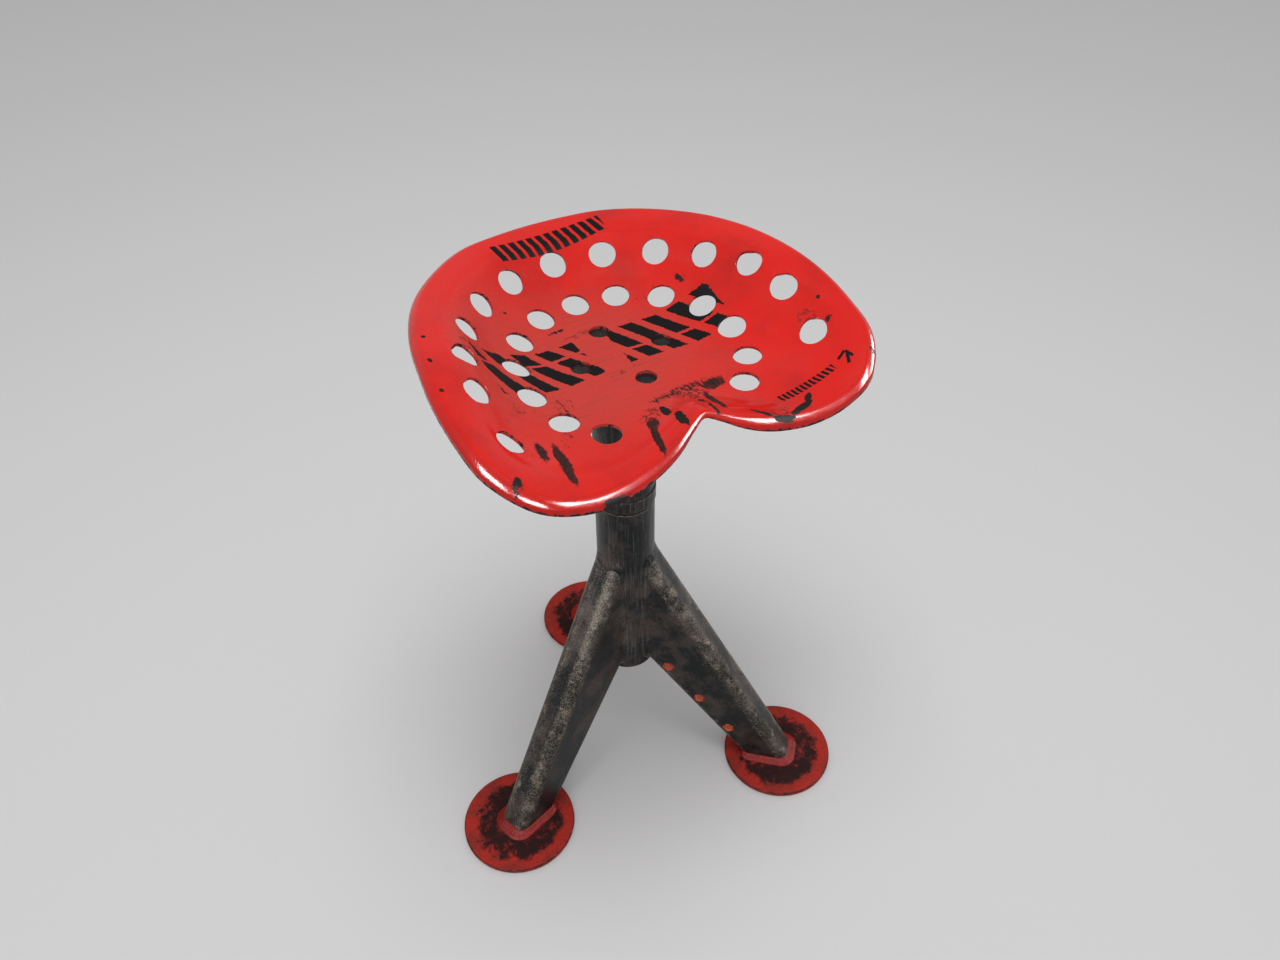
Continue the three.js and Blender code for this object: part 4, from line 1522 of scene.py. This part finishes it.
    def sheet(self) -> Shape:
        """The pan's upper face as one open sheet.

        Returns:
            The shape, with the masks lip (holes), rim and bowl.
        """
        crest = self.surface.spoke_ends(self.spokes)
        (first, *strip), (_, *strip_wear) = self.strip(crest)
        rolled, rolled_wear = self.rolled_edge(crest)
        flat, faces, lip, inner = self.net(first[:, :2])
        points = np.column_stack([flat, self.surface.height(flat[:, 0], flat[:, 1])])
        faces = [tuple(face) for face in faces]
        rim = np.zeros(len(points))
        for ring, wear in zip(strip + rolled, strip_wear + rolled_wear):
            outer = np.arange(len(points), len(points) + self.spokes)
            points, rim = np.vstack([points, ring]), np.append(rim, np.full(self.spokes, wear))
            for k in range(self.spokes):
                side = (k + 1) % self.spokes
                faces.append(tuple(int(place) for place in (inner[k], outer[k], outer[side], inner[side])))
            inner = outer
        lip = np.append(lip, np.zeros(len(points) - len(lip)))
        shape = self.without_strays(Shape(points, self.facing_up(points, faces), {"lip": lip, "rim": rim}))
        self.press(shape)
        return shape

    def press(self, shape: Shape) -> None:
        """Presses the crease below the shoulder and a few shallow dents, and adds the bowl's mask.

        Args:
            shape: The sheet.
        """
        points = shape.points
        out = self.surface.out_share(points[:, 0], points[:, 1])
        rim = shape.masks["rim"] > 0
        crease = np.exp(-(((out - self.crease_share) / self.crease_width) ** 2))
        places = [Vector((x, y, 0.0)) * self.dent_scale for x, y, _ in points]
        dents = np.array([noise.noise(place) - 1 for place in places])
        points[:, 2] += self.dent * dents * 0.5 - self.crease_depth * crease * ~rim
        bowl = (self.crease_share + self.bowl_fade - out) / (2 * self.bowl_fade)
        shape.masks["bowl"] = np.where(rim, 0.0, np.clip(bowl, 0, 1))

    def facing_up(self, points: np.ndarray, faces: Faces) -> Faces:
        """Turns each face of the sheet upward, and the rolled edge's outward.

        Args:
            points: The sheet's points.
            faces: Its faces.

        Returns:
            The faces, all on one side of the sheet.
        """
        turned = []
        for face in faces:
            a, b, c = (points[k] for k in face[:3])
            normal = np.cross(b - a, c - a)
            steep = abs(normal[2]) < self.steep * np.linalg.norm(normal)
            outward = normal[:2] @ a[:2] if steep else normal[2]
            turned.append(face if outward > 0 else tuple(reversed(face)))
        return turned

    @staticmethod
    def without_strays(shape: Shape) -> Shape:
        """Drops points that no face uses.

        Args:
            shape: A shape.

        Returns:
            The shape without them.
        """
        used = sorted({k for face in shape.faces for k in face})
        place = {old: new for new, old in enumerate(used)}
        faces = [tuple(place[k] for k in face) for face in shape.faces]
        return Shape(shape.points[used], faces, {name: mask[used] for name, mask in shape.masks.items()})

    def build(self, centre: Vector, top: bpy.types.Material, under: bpy.types.Material) -> bpy.types.Object:
        """Makes the pan, thickened downward and with eased edges.

        Args:
            centre: The pedestal's axis, in metres.
            top: Its finish.
            under: Its underside's finish.

        Returns:
            The pan.
        """
        pan = self.sheet().build("pressed_seat", centre, top)
        pan.data.materials.append(under)
        thick = pan.modifiers.new("sheet thickness", "SOLIDIFY")
        thick.material_offset = 1
        thick.thickness = self.surface.form.sheet * MM
        thick.offset = -1.0
        thick.use_even_offset = True
        ease = pan.modifiers.new("eased edges", "BEVEL")
        ease.width = self.edge_round * MM
        ease.segments = 2
        ease.limit_method = "ANGLE"
        ease.angle_limit = math.radians(self.sharp_angle)
        return pan


@dataclass
class Workshop:
    """The stool's materials, each built once, and how pieces are put on the model."""

    nodes: dict[str, bpy.types.Object]
    centre: Vector

    def __post_init__(self) -> None:
        """Builds the materials."""
        # The underside is darkened along the rim mask: worn paint, and painted shade at the sheet's lower
        # edge.
        under = DullEnamel(name="underside enamel", red=(0.50, 0.012, 0.009), faded=(0.34, 0.02, 0.016),
                           cover=0.0, worn="rim")
        # The foot beads' enamel carries a painted highlight: pale glints on the ripple crests.
        bead = DullEnamel(name="foot bead enamel", red=(0.33, 0.012, 0.008), faded=(0.2, 0.014, 0.01),
                          cover=0.1, glint=0.75)
        plug = DullEnamel(name="plug enamel", red=(0.80, 0.10, 0.035), faded=(0.66, 0.16, 0.07), cover=0.0)
        leg = BlackSteel(name="leg steel", streaks=0.34, cover=0.14)
        weld = BlackSteel(name="weld steel", cover=0.0, metallic=0.6)
        bronze = TurnedMetal(name="oily bronze", base=(0.34, 0.22, 0.10), stain=(0.10, 0.06, 0.03))
        self.seat = SeatEnamel().material(self.centre)
        self.under = under.material(self.centre)
        self.black = BlackSteel().material(self.centre)
        self.leg = leg.material(self.centre)
        self.weld = weld.material(self.centre)
        self.foot = DullEnamel().material(self.centre)
        self.foot_bead = bead.material(self.centre)
        self.plug = plug.material(self.centre)
        self.turned = TurnedMetal().material(self.centre)
        self.bronze = bronze.material(self.centre)

    def put(
        self, shape: Shape, name: str, material: bpy.types.Material, node: str, where: tuple[Body, Slot]
    ) -> None:
        """Builds a piece in place of a node.

        Args:
            shape: The piece's shape.
            name: Its name.
            material: Its finish.
            node: The node that it stands for.
            where: The body that it rides on and its material slot.
        """
        self.mount(shape.build(name, self.centre, material), node, where)

    def mount(self, piece: bpy.types.Object, node: str, where: tuple[Body, Slot]) -> None:
        """Puts a piece on its body in place of a node, and reports it.

        Args:
            piece: The piece.
            node: The node that it stands for.
            where: The body that it rides on and its material slot.
        """
        body, slot = where
        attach(piece, body.value)
        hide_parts(node)
        LOG.info("%s stands for %s on %s, %d points", piece.name, node, body.value, len(piece.data.vertices))

    def keep(self, material: bpy.types.Material, *nodes: str) -> None:
        """Gives nodes of the model, which stay as they are, their finish.

        Args:
            material: The finish.
            *nodes: The nodes' names.
        """
        for node in nodes:
            for slot in self.nodes[node].material_slots:
                slot.material = material
            LOG.info("%s keeps its solid, in %s", node, material.name)


@dataclass
class SeatHead:
    """The turning upper part: pan, mounting plate, head tube, collar, spindle and what keeps it."""

    shop: Workshop
    form: SeatForm
    tube_radius: float = 30.15
    tube_wall: float = 3.9
    gap: float = 0.3
    rounding: float = 0.12
    bead_places: int = 180

    def dress(self) -> None:
        """Builds and dresses the head's pieces."""
        shop = self.shop
        pan = SeatPan(SeatSurface(self.form)).build(shop.centre, shop.seat, shop.under)
        shop.mount(pan, "seat_pan", (Body.SEAT, Slot.RED))
        self.turn("mount_disc", "mounting_plate")
        self.turn("upper_tube", "head_tube", self.tube_radius - self.tube_wall, self.gap)
        self.collar()
        self.ring_bead("seat_bead", "seat_weld", "mounting_plate")
        self.ring_bead("plate_bead", "plate_weld", "head_tube")
        shop.keep(shop.turned, "spindle", "keeper_washer", "keeper_nut")

    def turn(self, name: str, node: str, bore: float = 0.0, drop: float = 0.0) -> None:
        """Builds a plain turned piece over a node's box.

        Args:
            name: The piece's name.
            node: The node that it stands for.
            bore: Its bore's radius, or 0 for a solid piece.
            drop: How far its lower edge reaches towards what it is welded to.
        """
        radius, bottom, top = round_size(node)
        bottom -= drop
        self.put_turned([(bore, bottom), (radius, bottom), (radius, top), (bore, top)], name, node)

    def collar(self) -> None:
        """Builds the turned collar that closes the head tube."""
        radius, bottom, top = round_size("swivel_collar")
        bore = round_size("spindle")[0] + self.gap
        spigot = self.tube_radius - self.tube_wall - self.gap
        shoulder = round_size("head_tube")[1] - self.gap
        outline = [(bore, bottom), (radius, bottom), (radius, shoulder), (spigot, shoulder), (spigot, top),
                   (bore, top)]
        self.put_turned(outline, "turned_collar", "swivel_collar")

    def put_turned(self, outline: Outline, name: str, node: str) -> None:
        """Revolves an outline and puts the black steel piece in its node's place."""
        shape = Turning(outline, rounding=self.rounding).shape()
        self.shop.put(shape, name, self.shop.black, node, (Body.SEAT, Slot.BLACK))

    def ring_bead(self, name: str, node: str, carried: str) -> None:
        """Lays a bead round the axis, hanging from the face above it.

        Args:
            name: The piece's name.
            node: The node that it stands for.
            carried: The round node that it lies against.
        """
        _, bottom, top = round_size(node)
        turns = np.linspace(0, 2 * math.pi, self.bead_places, endpoint=False)
        spreads = np.column_stack([np.cos(turns), np.sin(turns), np.zeros(len(turns))])
        corners = spreads * (round_size(carried)[0] + self.gap) + (0.0, 0.0, top)
        shape = Bead(corners, spreads, np.tile((0.0, 0.0, -1.0), (len(turns), 1)), top - bottom).shape()
        self.shop.put(shape, name, self.shop.weld, node, (Body.SEAT, Slot.WELD))


@dataclass(frozen=True)
class LegForm:
    """A leg's form in its own XZ plane, in millimetres, leaning out along +X from the pedestal."""

    tube_radius: float = 30.15
    top: float = 308.0
    crotch: float = 156.0
    toe: float = 199.0
    heel: float = 148.0
    floor: float = 5.0
    width: float = 36.0
    outer_corner: float = 10.0
    inner_corner: float = 4.0
    gap: float = 0.3
    corner_steps: int = 8
    side_shares: tuple[float, ...] = (0.06, 0.14, 0.25, 0.4, 0.5, 0.6, 0.75, 0.86, 0.94)
    corner_wear: float = 7.0
    plugs: tuple[tuple[str, float], ...] = (("upper", 0.26), ("middle", 0.447), ("lower", 0.63))
    plug_inset: float = 11.5
    plug_radius: float = 6.5

    def lines(self) -> tuple[np.ndarray, np.ndarray, np.ndarray, np.ndarray]:
        """The lines of the leg's outer and inner edges.

        Returns:
            The outer edge's top and direction, and the inner edge's.
        """
        outer, inner = (np.array([self.tube_radius, 0, height]) for height in (self.top, self.crotch))
        toe, heel = (np.array([reach, 0, self.floor]) for reach in (self.toe, self.heel))
        return outer, unit(toe - outer), inner, unit(heel - inner)

    def axis(self) -> tuple[np.ndarray, np.ndarray, float]:
        """The leg's middle line.

        Returns:
            Its start at the pedestal, its direction, and its length to past the floor.
        """
        outer, outer_way, inner, inner_way = self.lines()
        middle, way = (outer + inner) / 2, unit(outer_way + inner_way)
        toe = np.array([self.toe, 0, self.floor])
        return middle, way, float((toe - middle) @ way) + self.width

    def edge_point(self, top: np.ndarray, way: np.ndarray, along: float) -> np.ndarray:
        """Where an edge line crosses the plane square to the leg at a distance along it."""
        middle, axis, _ = self.axis()
        return top + way * ((along - (top - middle) @ axis) / (way @ axis))

    def section(self, along: float) -> tuple[np.ndarray, np.ndarray]:
        """The leg's outline square to its axis at a distance along it.

        Args:
            along: The distance from the leg's middle at the pedestal.

        Returns:
            The outline's points, and a mask that is 1 on its corners.
        """
        top, way, crotch, inner_way = self.lines()
        outer, inner = self.edge_point(top, way, along), self.edge_point(crotch, inner_way, along)
        depth, half = np.linalg.norm(outer - inner) / 2, self.width / 2
        middle, across = (outer + inner) / 2, unit(outer - inner)
        corners = ((1, 1, self.outer_corner), (-1, 1, self.inner_corner), (-1, -1, self.inner_corner),
                   (1, -1, self.outer_corner))
        arcs = []
        for quarter, (deep, wide, radius) in enumerate(corners):
            turns = (quarter + np.linspace(0, 1, self.corner_steps + 1)) * math.pi / 2
            reach = deep * (depth - radius) + radius * np.cos(turns)
            side = wide * (half - radius) + radius * np.sin(turns)
            arcs.append(middle + reach[:, None] * across + side[:, None] * (0, 1, 0))
        shares = np.array(self.side_shares)
        points, wear = [], []
        for arc, following in zip(arcs, arcs[1:] + arcs[:1]):
            run = following[0] - arc[-1]
            away = np.minimum(shares, 1 - shares) * np.linalg.norm(run)
            points += [*arc, *(arc[-1] + shares[:, None] * run)]
            wear += [*np.ones(len(arc)), *np.exp(-away / self.corner_wear)]
        return np.array(points), np.array(wear)

    def skin(self) -> tuple[np.ndarray, np.ndarray, np.ndarray, np.ndarray]:
        """The leg's skin lines.

        Returns:
            Each line's start, its way down, its outward direction and its wear mask.
        """
        start, wear = self.section(self.crotch - self.top)
        down = unit(self.section(self.axis()[2])[0] - start)
        normal = unit(np.cross(np.roll(start, -1, axis=0) - np.roll(start, 1, axis=0), down))
        if (normal * (start - start.mean(axis=0))).sum() < 0:
            normal = -normal
        return start, down, normal, wear

    def at_tube(self, start: np.ndarray, down: np.ndarray, radius: float) -> np.ndarray:
        """Where skin lines meet an upright cylinder of a radius."""
        reach = np.sqrt(radius**2 - start[:, 1] ** 2)
        return start + down * ((reach - start[:, 0]) / down[:, 0])[:, None]

    def at_floor(self, start: np.ndarray, down: np.ndarray, height: float) -> np.ndarray:
        """Where skin lines meet a level plane."""
        return start + down * ((height - start[:, 2]) / down[:, 2])[:, None]


@dataclass
class Leg:
    """One leg with its beads, foot plate and, on the right one, the painted plugs."""

    side: Side
    shop: Workshop
    form: LegForm
    foot_circle: float = 183.0
    foot_rounding: float = 1.1
    foot_stretch: float = 5.0
    leg_bead: float = 6.0
    leg_ripple: float = 0.07
    foot_bead: float = 7.0
    foot_ripple: float = 0.2
    row_step: float = 3.2
    weld_wear: float = 0.8
    weld_reach: float = 26.0
    splash_share: float = 1.25
    plug_back: float = -2.6
    plug_rim: tuple[Pair, ...] = ((1.0, 0.7), (0.78, 0.9), (0.45, -0.3), (0.0, -0.6))
    plug_rounding: float = 0.5
    plug_sides: int = 40
    plug_stretch: float = 1.6

    def dress(self) -> None:
        """Builds and dresses the leg's pieces."""
        label, shop = self.side.label, self.shop
        self.place(self.tube_shape(), f"{label}_leg_tube", shop.leg, f"leg_{label}", Slot.BLACK)
        self.place(self.leg_bead_shape(), f"{label}_leg_bead", shop.weld, f"leg_weld_{label}", Slot.WELD)
        self.place(self.foot_shape(), f"{label}_foot_plate", shop.foot, f"foot_{label}", Slot.DULL_RED)
        self.place(self.foot_bead_shape(), f"{label}_foot_bead", shop.foot_bead, f"foot_weld_{label}",
                   Slot.DULL_RED)
        for name, share in self.plugs:
            self.place(self.plug_shape(share), f"{name}_plug", shop.plug, f"leg_plug_{name}", Slot.DULL_RED)

    @property
    def plugs(self) -> tuple[tuple[str, float], ...]:
        """The leg's plugs, each with its share of the way down. Only the right leg has them."""
        return self.form.plugs if self.side is Side.RIGHT else ()

    def place(self, shape: Shape, name: str, material: bpy.types.Material, node: str, slot: Slot) -> None:
        """Turns a shape to the leg's bearing and puts it in its node's place."""
        self.shop.put(shape.turned(self.side.value), name, material, node, (Body.BASE, slot))

    def plug_place(self, share: float) -> np.ndarray:
        """A plug's centre on the leg's near side.

        Args:
            share: The share of the way down the leg.

        Returns:
            The place.
        """
        top, way, crotch, inner_way = self.form.lines()
        along = self.form.axis()[2] * share
        place = self.form.edge_point(crotch, inner_way, along)
        across = unit(self.form.edge_point(top, way, along) - place)
        return place + across * self.form.plug_inset - (0, self.form.width / 2, 0)

    def tube_shape(self) -> Shape:
        """The flattened tube, from the pedestal to the foot plate.

        Returns:
            The shape, with the masks edge, splash (round the plugs) and lie.
        """
        form = self.form
        start, down, _, wear = form.skin()
        upper = form.at_tube(start, down, form.tube_radius + form.gap)
        lower = form.at_floor(start, down, form.floor + form.gap)
        length = np.linalg.norm(lower - upper, axis=1).max()
        rows, columns = int(length / self.row_step), len(start)
        shares = np.linspace(0, 1, rows)
        points = (upper + shares[:, None, None] * (lower - upper)).reshape(-1, 3)
        points = np.vstack([points, upper.mean(axis=0), lower.mean(axis=0)])
        faces = grid_faces(rows, columns) + end_fans(rows, columns)
        weld = self.weld_wear * np.exp(-shares * length / self.weld_reach)
        edge = np.append(np.maximum(np.tile(wear, rows), np.repeat(weld, columns)), [0.0, 0.0])
        splash = np.zeros(len(points))
        for _, share in self.plugs:
            away = np.linalg.norm(points - self.plug_place(share), axis=1)
            splash = np.maximum(splash, np.exp(-((away / (form.plug_radius * self.splash_share)) ** 2)))
        middle, way, _ = form.axis()
        axes = np.column_stack([np.cross(way, (0.0, 1.0, 0.0)), (0.0, 1.0, 0.0), way])
        lie = (points - middle) @ axes + (self.side.value, 0.0, 0.0)
        return Shape(points, facing_out(points, faces), {"edge": edge, "splash": splash, "lie": lie})

    def leg_bead_shape(self) -> Shape:
        """The bead between the leg and the pedestal, with its toe on the tube's skin.

        Returns:
            The shape.
        """
        form = self.form
        start, down, normal, _ = form.skin()
        contact = form.at_tube(start, down, form.tube_radius + 2 * form.gap)
        from_tube = unit(contact * (1, 1, 0))
        spread = unit(normal - from_tube * (normal * from_tube).sum(axis=1)[:, None])
        toe = contact + spread * self.leg_bead
        toe[:, :2] *= (form.tube_radius - form.gap) / np.hypot(toe[:, 0], toe[:, 1])[:, None]
        spread = (toe - contact) / self.leg_bead
        return Bead(contact, spread, down, self.leg_bead, depth=self.leg_ripple).shape()

    def foot_bead_shape(self) -> Shape:
        """The bead between the leg and its foot plate.

        Returns:
            The shape.
        """
        start, down, normal, _ = self.form.skin()
        contact = self.form.at_floor(start, down, self.form.floor + self.form.gap)
        return Bead(contact, unit(normal * (1, 1, 0)), -down, self.foot_bead, depth=self.foot_ripple).shape()

    def foot_shape(self) -> Shape:
        """The round foot plate.

        Returns:
            The shape, at the foot's place.
        """
        radius, bottom, _ = round_size(f"foot_{self.side.label}")
        outline = [(0.0, bottom), (radius, bottom), (radius, self.form.floor), (0.0, self.form.floor)]
        shape = Turning(outline, rounding=self.foot_rounding, stretch=self.foot_stretch).shape()
        return Shape(shape.points + (self.foot_circle, 0, 0), shape.faces, shape.masks)

    def plug_shape(self, share: float) -> Shape:
        """A dished plug in the leg's side.

        Args:
            share: The share of the way down the leg.

        Returns:
            The shape, at the plug's place.
        """
        radius = self.form.plug_radius
        rim = [(radius * reach, height) for reach, height in self.plug_rim]
        outline = [(0.0, self.plug_back), (radius, self.plug_back), *rim]
        shape = Turning(outline, self.plug_rounding, self.plug_sides, self.plug_stretch).shape()
        outward = np.array([[1, 0, 0], [0, 0, -1], [0, 1, 0]])
        points = shape.points @ outward.T + self.plug_place(share)
        return Shape(points, shape.faces, {**shape.masks, "reach": np.zeros(len(points))})


@dataclass
class Base:
    """The standing lower part: pedestal tube, its bushes, and three legs."""

    shop: Workshop
    form: LegForm
    tube_wall: float = 3.9
    rounding: float = 0.3

    def dress(self) -> None:
        """Builds and dresses the base's pieces."""
        shop = self.shop
        _, bottom, top = round_size("pedestal_tube")
        radius, bore = self.form.tube_radius, self.form.tube_radius - self.tube_wall
        outline = [(bore, bottom), (radius, bottom), (radius, top), (bore, top)]
        tube = Turning(outline, rounding=self.rounding).shape()
        shop.put(tube, "lower_tube", shop.black, "pedestal_tube", (Body.BASE, Slot.BLACK))
        for side in Side:
            Leg(side, shop, self.form).dress()
        self.thrust_ring(top)
        shop.keep(shop.bronze, "upper_bush", "lower_bush")
        shop.keep(shop.black, "upper_bush_ring", "lower_bush_ring")

    def thrust_ring(self, pedestal_top: float) -> None:
        """Builds the washer under the collar, with a lip that keeps dust out of the swivel.

        Args:
            pedestal_top: The pedestal tube's height.
        """
        gap = self.form.gap
        _, bottom, top = round_size("thrust_washer")
        bore, inner = round_size("spindle")[0] + gap, round_size("upper_bush")[0] + gap
        outer, foot = self.form.tube_radius - 2 * gap, pedestal_top + gap
        outline = [(bore, bottom), (inner, bottom), (inner, foot), (outer, foot), (outer, top), (bore, top)]
        ring = Turning(outline, rounding=self.rounding).shape()
        self.shop.put(ring, "thrust_ring", self.shop.bronze, "thrust_washer", (Body.BASE, Slot.BRONZE))


@dataclass(frozen=True)
class Lamp:
    """A soft lamp: its place from the seat's middle and sides in metres, its power in watts.

    A lamp either lights the scene or only glints in what is glossy.
    """

    name: str
    place: Triple
    size: Pair
    power: float
    glints: bool = True

    def hang(self, seat: Vector) -> None:
        """Hangs the lamp, aimed at the seat.

        Args:
            seat: The seat's middle, in metres.
        """
        data = bpy.data.lights.new(self.name, "AREA")
        data.energy = self.power
        data.shape = "RECTANGLE"
        data.size, data.size_y = self.size
        lamp = bpy.data.objects.new(self.name, data)
        lamp.location = seat + Vector(self.place)
        lamp.rotation_euler = Vector(self.place).to_track_quat("Z", "Y").to_euler()
        lamp.visible_glossy = self.glints
        lamp.visible_diffuse = not self.glints
        bpy.context.scene.collection.objects.link(lamp)


@dataclass
class Studio:
    """Floor, light and camera."""

    centre: Vector
    camera_place: Triple = (-0.3874, -0.6735, 1.0871)
    heading: float = 58.96
    pitch: float = -41.4
    roll: float = -0.34
    lens: float = 29.5
    sensor: float = 36.0
    far: float = 60.0
    floor_size: float = 30.0
    floor_drop: float = 0.0004
    ambient: float = 0.56
    seat_height: float = 0.5
    lamps: tuple[Lamp, ...] = (
        Lamp("overhead", (-0.15, -0.25, 2.4), (1.3, 1.3), 36.0, glints=False),
        Lamp("left window", (-1.7, -0.5, 0.95), (1.3, 0.8), 150.0),
        Lamp("front window", (-0.7, -1.82, 0.9), (1.4, 0.7), 150.0),
        Lamp("lobe window", (1.2, -1.25, 0.88), (0.6, 1.0), 95.0),
        Lamp("right window", (1.85, -0.46, 0.32), (0.9, 0.42), 56.0),
    )

    def camera(self) -> None:
        """Sets the camera where the photograph was taken from."""
        data = bpy.data.cameras.new("camera")
        data.lens = self.lens
        data.sensor_width = self.sensor
        data.clip_end = self.far
        camera = bpy.data.objects.new("camera", data)
        bpy.context.scene.collection.objects.link(camera)
        heading, pitch = math.radians(self.heading), math.radians(self.pitch)
        level = Vector((math.cos(heading), math.sin(heading), 0.0)) * math.cos(pitch)
        forward = level + Vector((0.0, 0.0, math.sin(pitch)))
        turn = forward.to_track_quat("-Z", "Y").to_matrix() @ Matrix.Rotation(math.radians(self.roll), 3, "Z")
        camera.matrix_world = Matrix.Translation(self.centre + Vector(self.camera_place)) @ turn.to_4x4()
        bpy.context.scene.camera = camera

    def floor(self) -> None:
        """Lays the floor."""
        half = self.floor_size / 2
        mesh = bpy.data.meshes.new("floor")
        corners = [(-half, -half, 0), (half, -half, 0), (half, half, 0), (-half, half, 0)]
        mesh.from_pydata(corners, [], [(0, 1, 2, 3)])
        mesh.materials.append(PaleFloor().plain())
        floor = bpy.data.objects.new("floor", mesh)
        floor.location.z = -self.floor_drop
        bpy.context.scene.collection.objects.link(floor)

    def light(self) -> None:
        """Sets the soft studio light."""
        world = bpy.data.worlds.new("studio")
        world.use_nodes = True
        background = world.node_tree.nodes["Background"]
        background.inputs["Color"].default_value = (1.0, 1.0, 1.0, 1.0)
        background.inputs["Strength"].default_value = self.ambient
        bpy.context.scene.world = world
        for lamp in self.lamps:
            lamp.hang(self.centre + Vector((0.0, 0.0, self.seat_height)))

    def set_up(self) -> None:
        """Sets camera, floor and light."""
        self.camera()
        self.floor()
        self.light()
        bpy.context.scene.view_settings.view_transform = "Standard"


def main() -> None:
    """Builds the stool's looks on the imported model."""
    logging.basicConfig(level=logging.INFO, format="%(name)s: %(message)s")
    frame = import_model()
    low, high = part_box("pedestal_tube")
    centre = Vector(((low.x + high.x) / 2, (low.y + high.y) / 2, 0.0))
    Studio(centre).set_up()
    make_effects()
    shop = Workshop(frame["nodes"], centre)
    SeatHead(shop, SeatForm()).dress()
    Base(shop, LegForm()).dress()


if __name__ == "__main__":
    main()
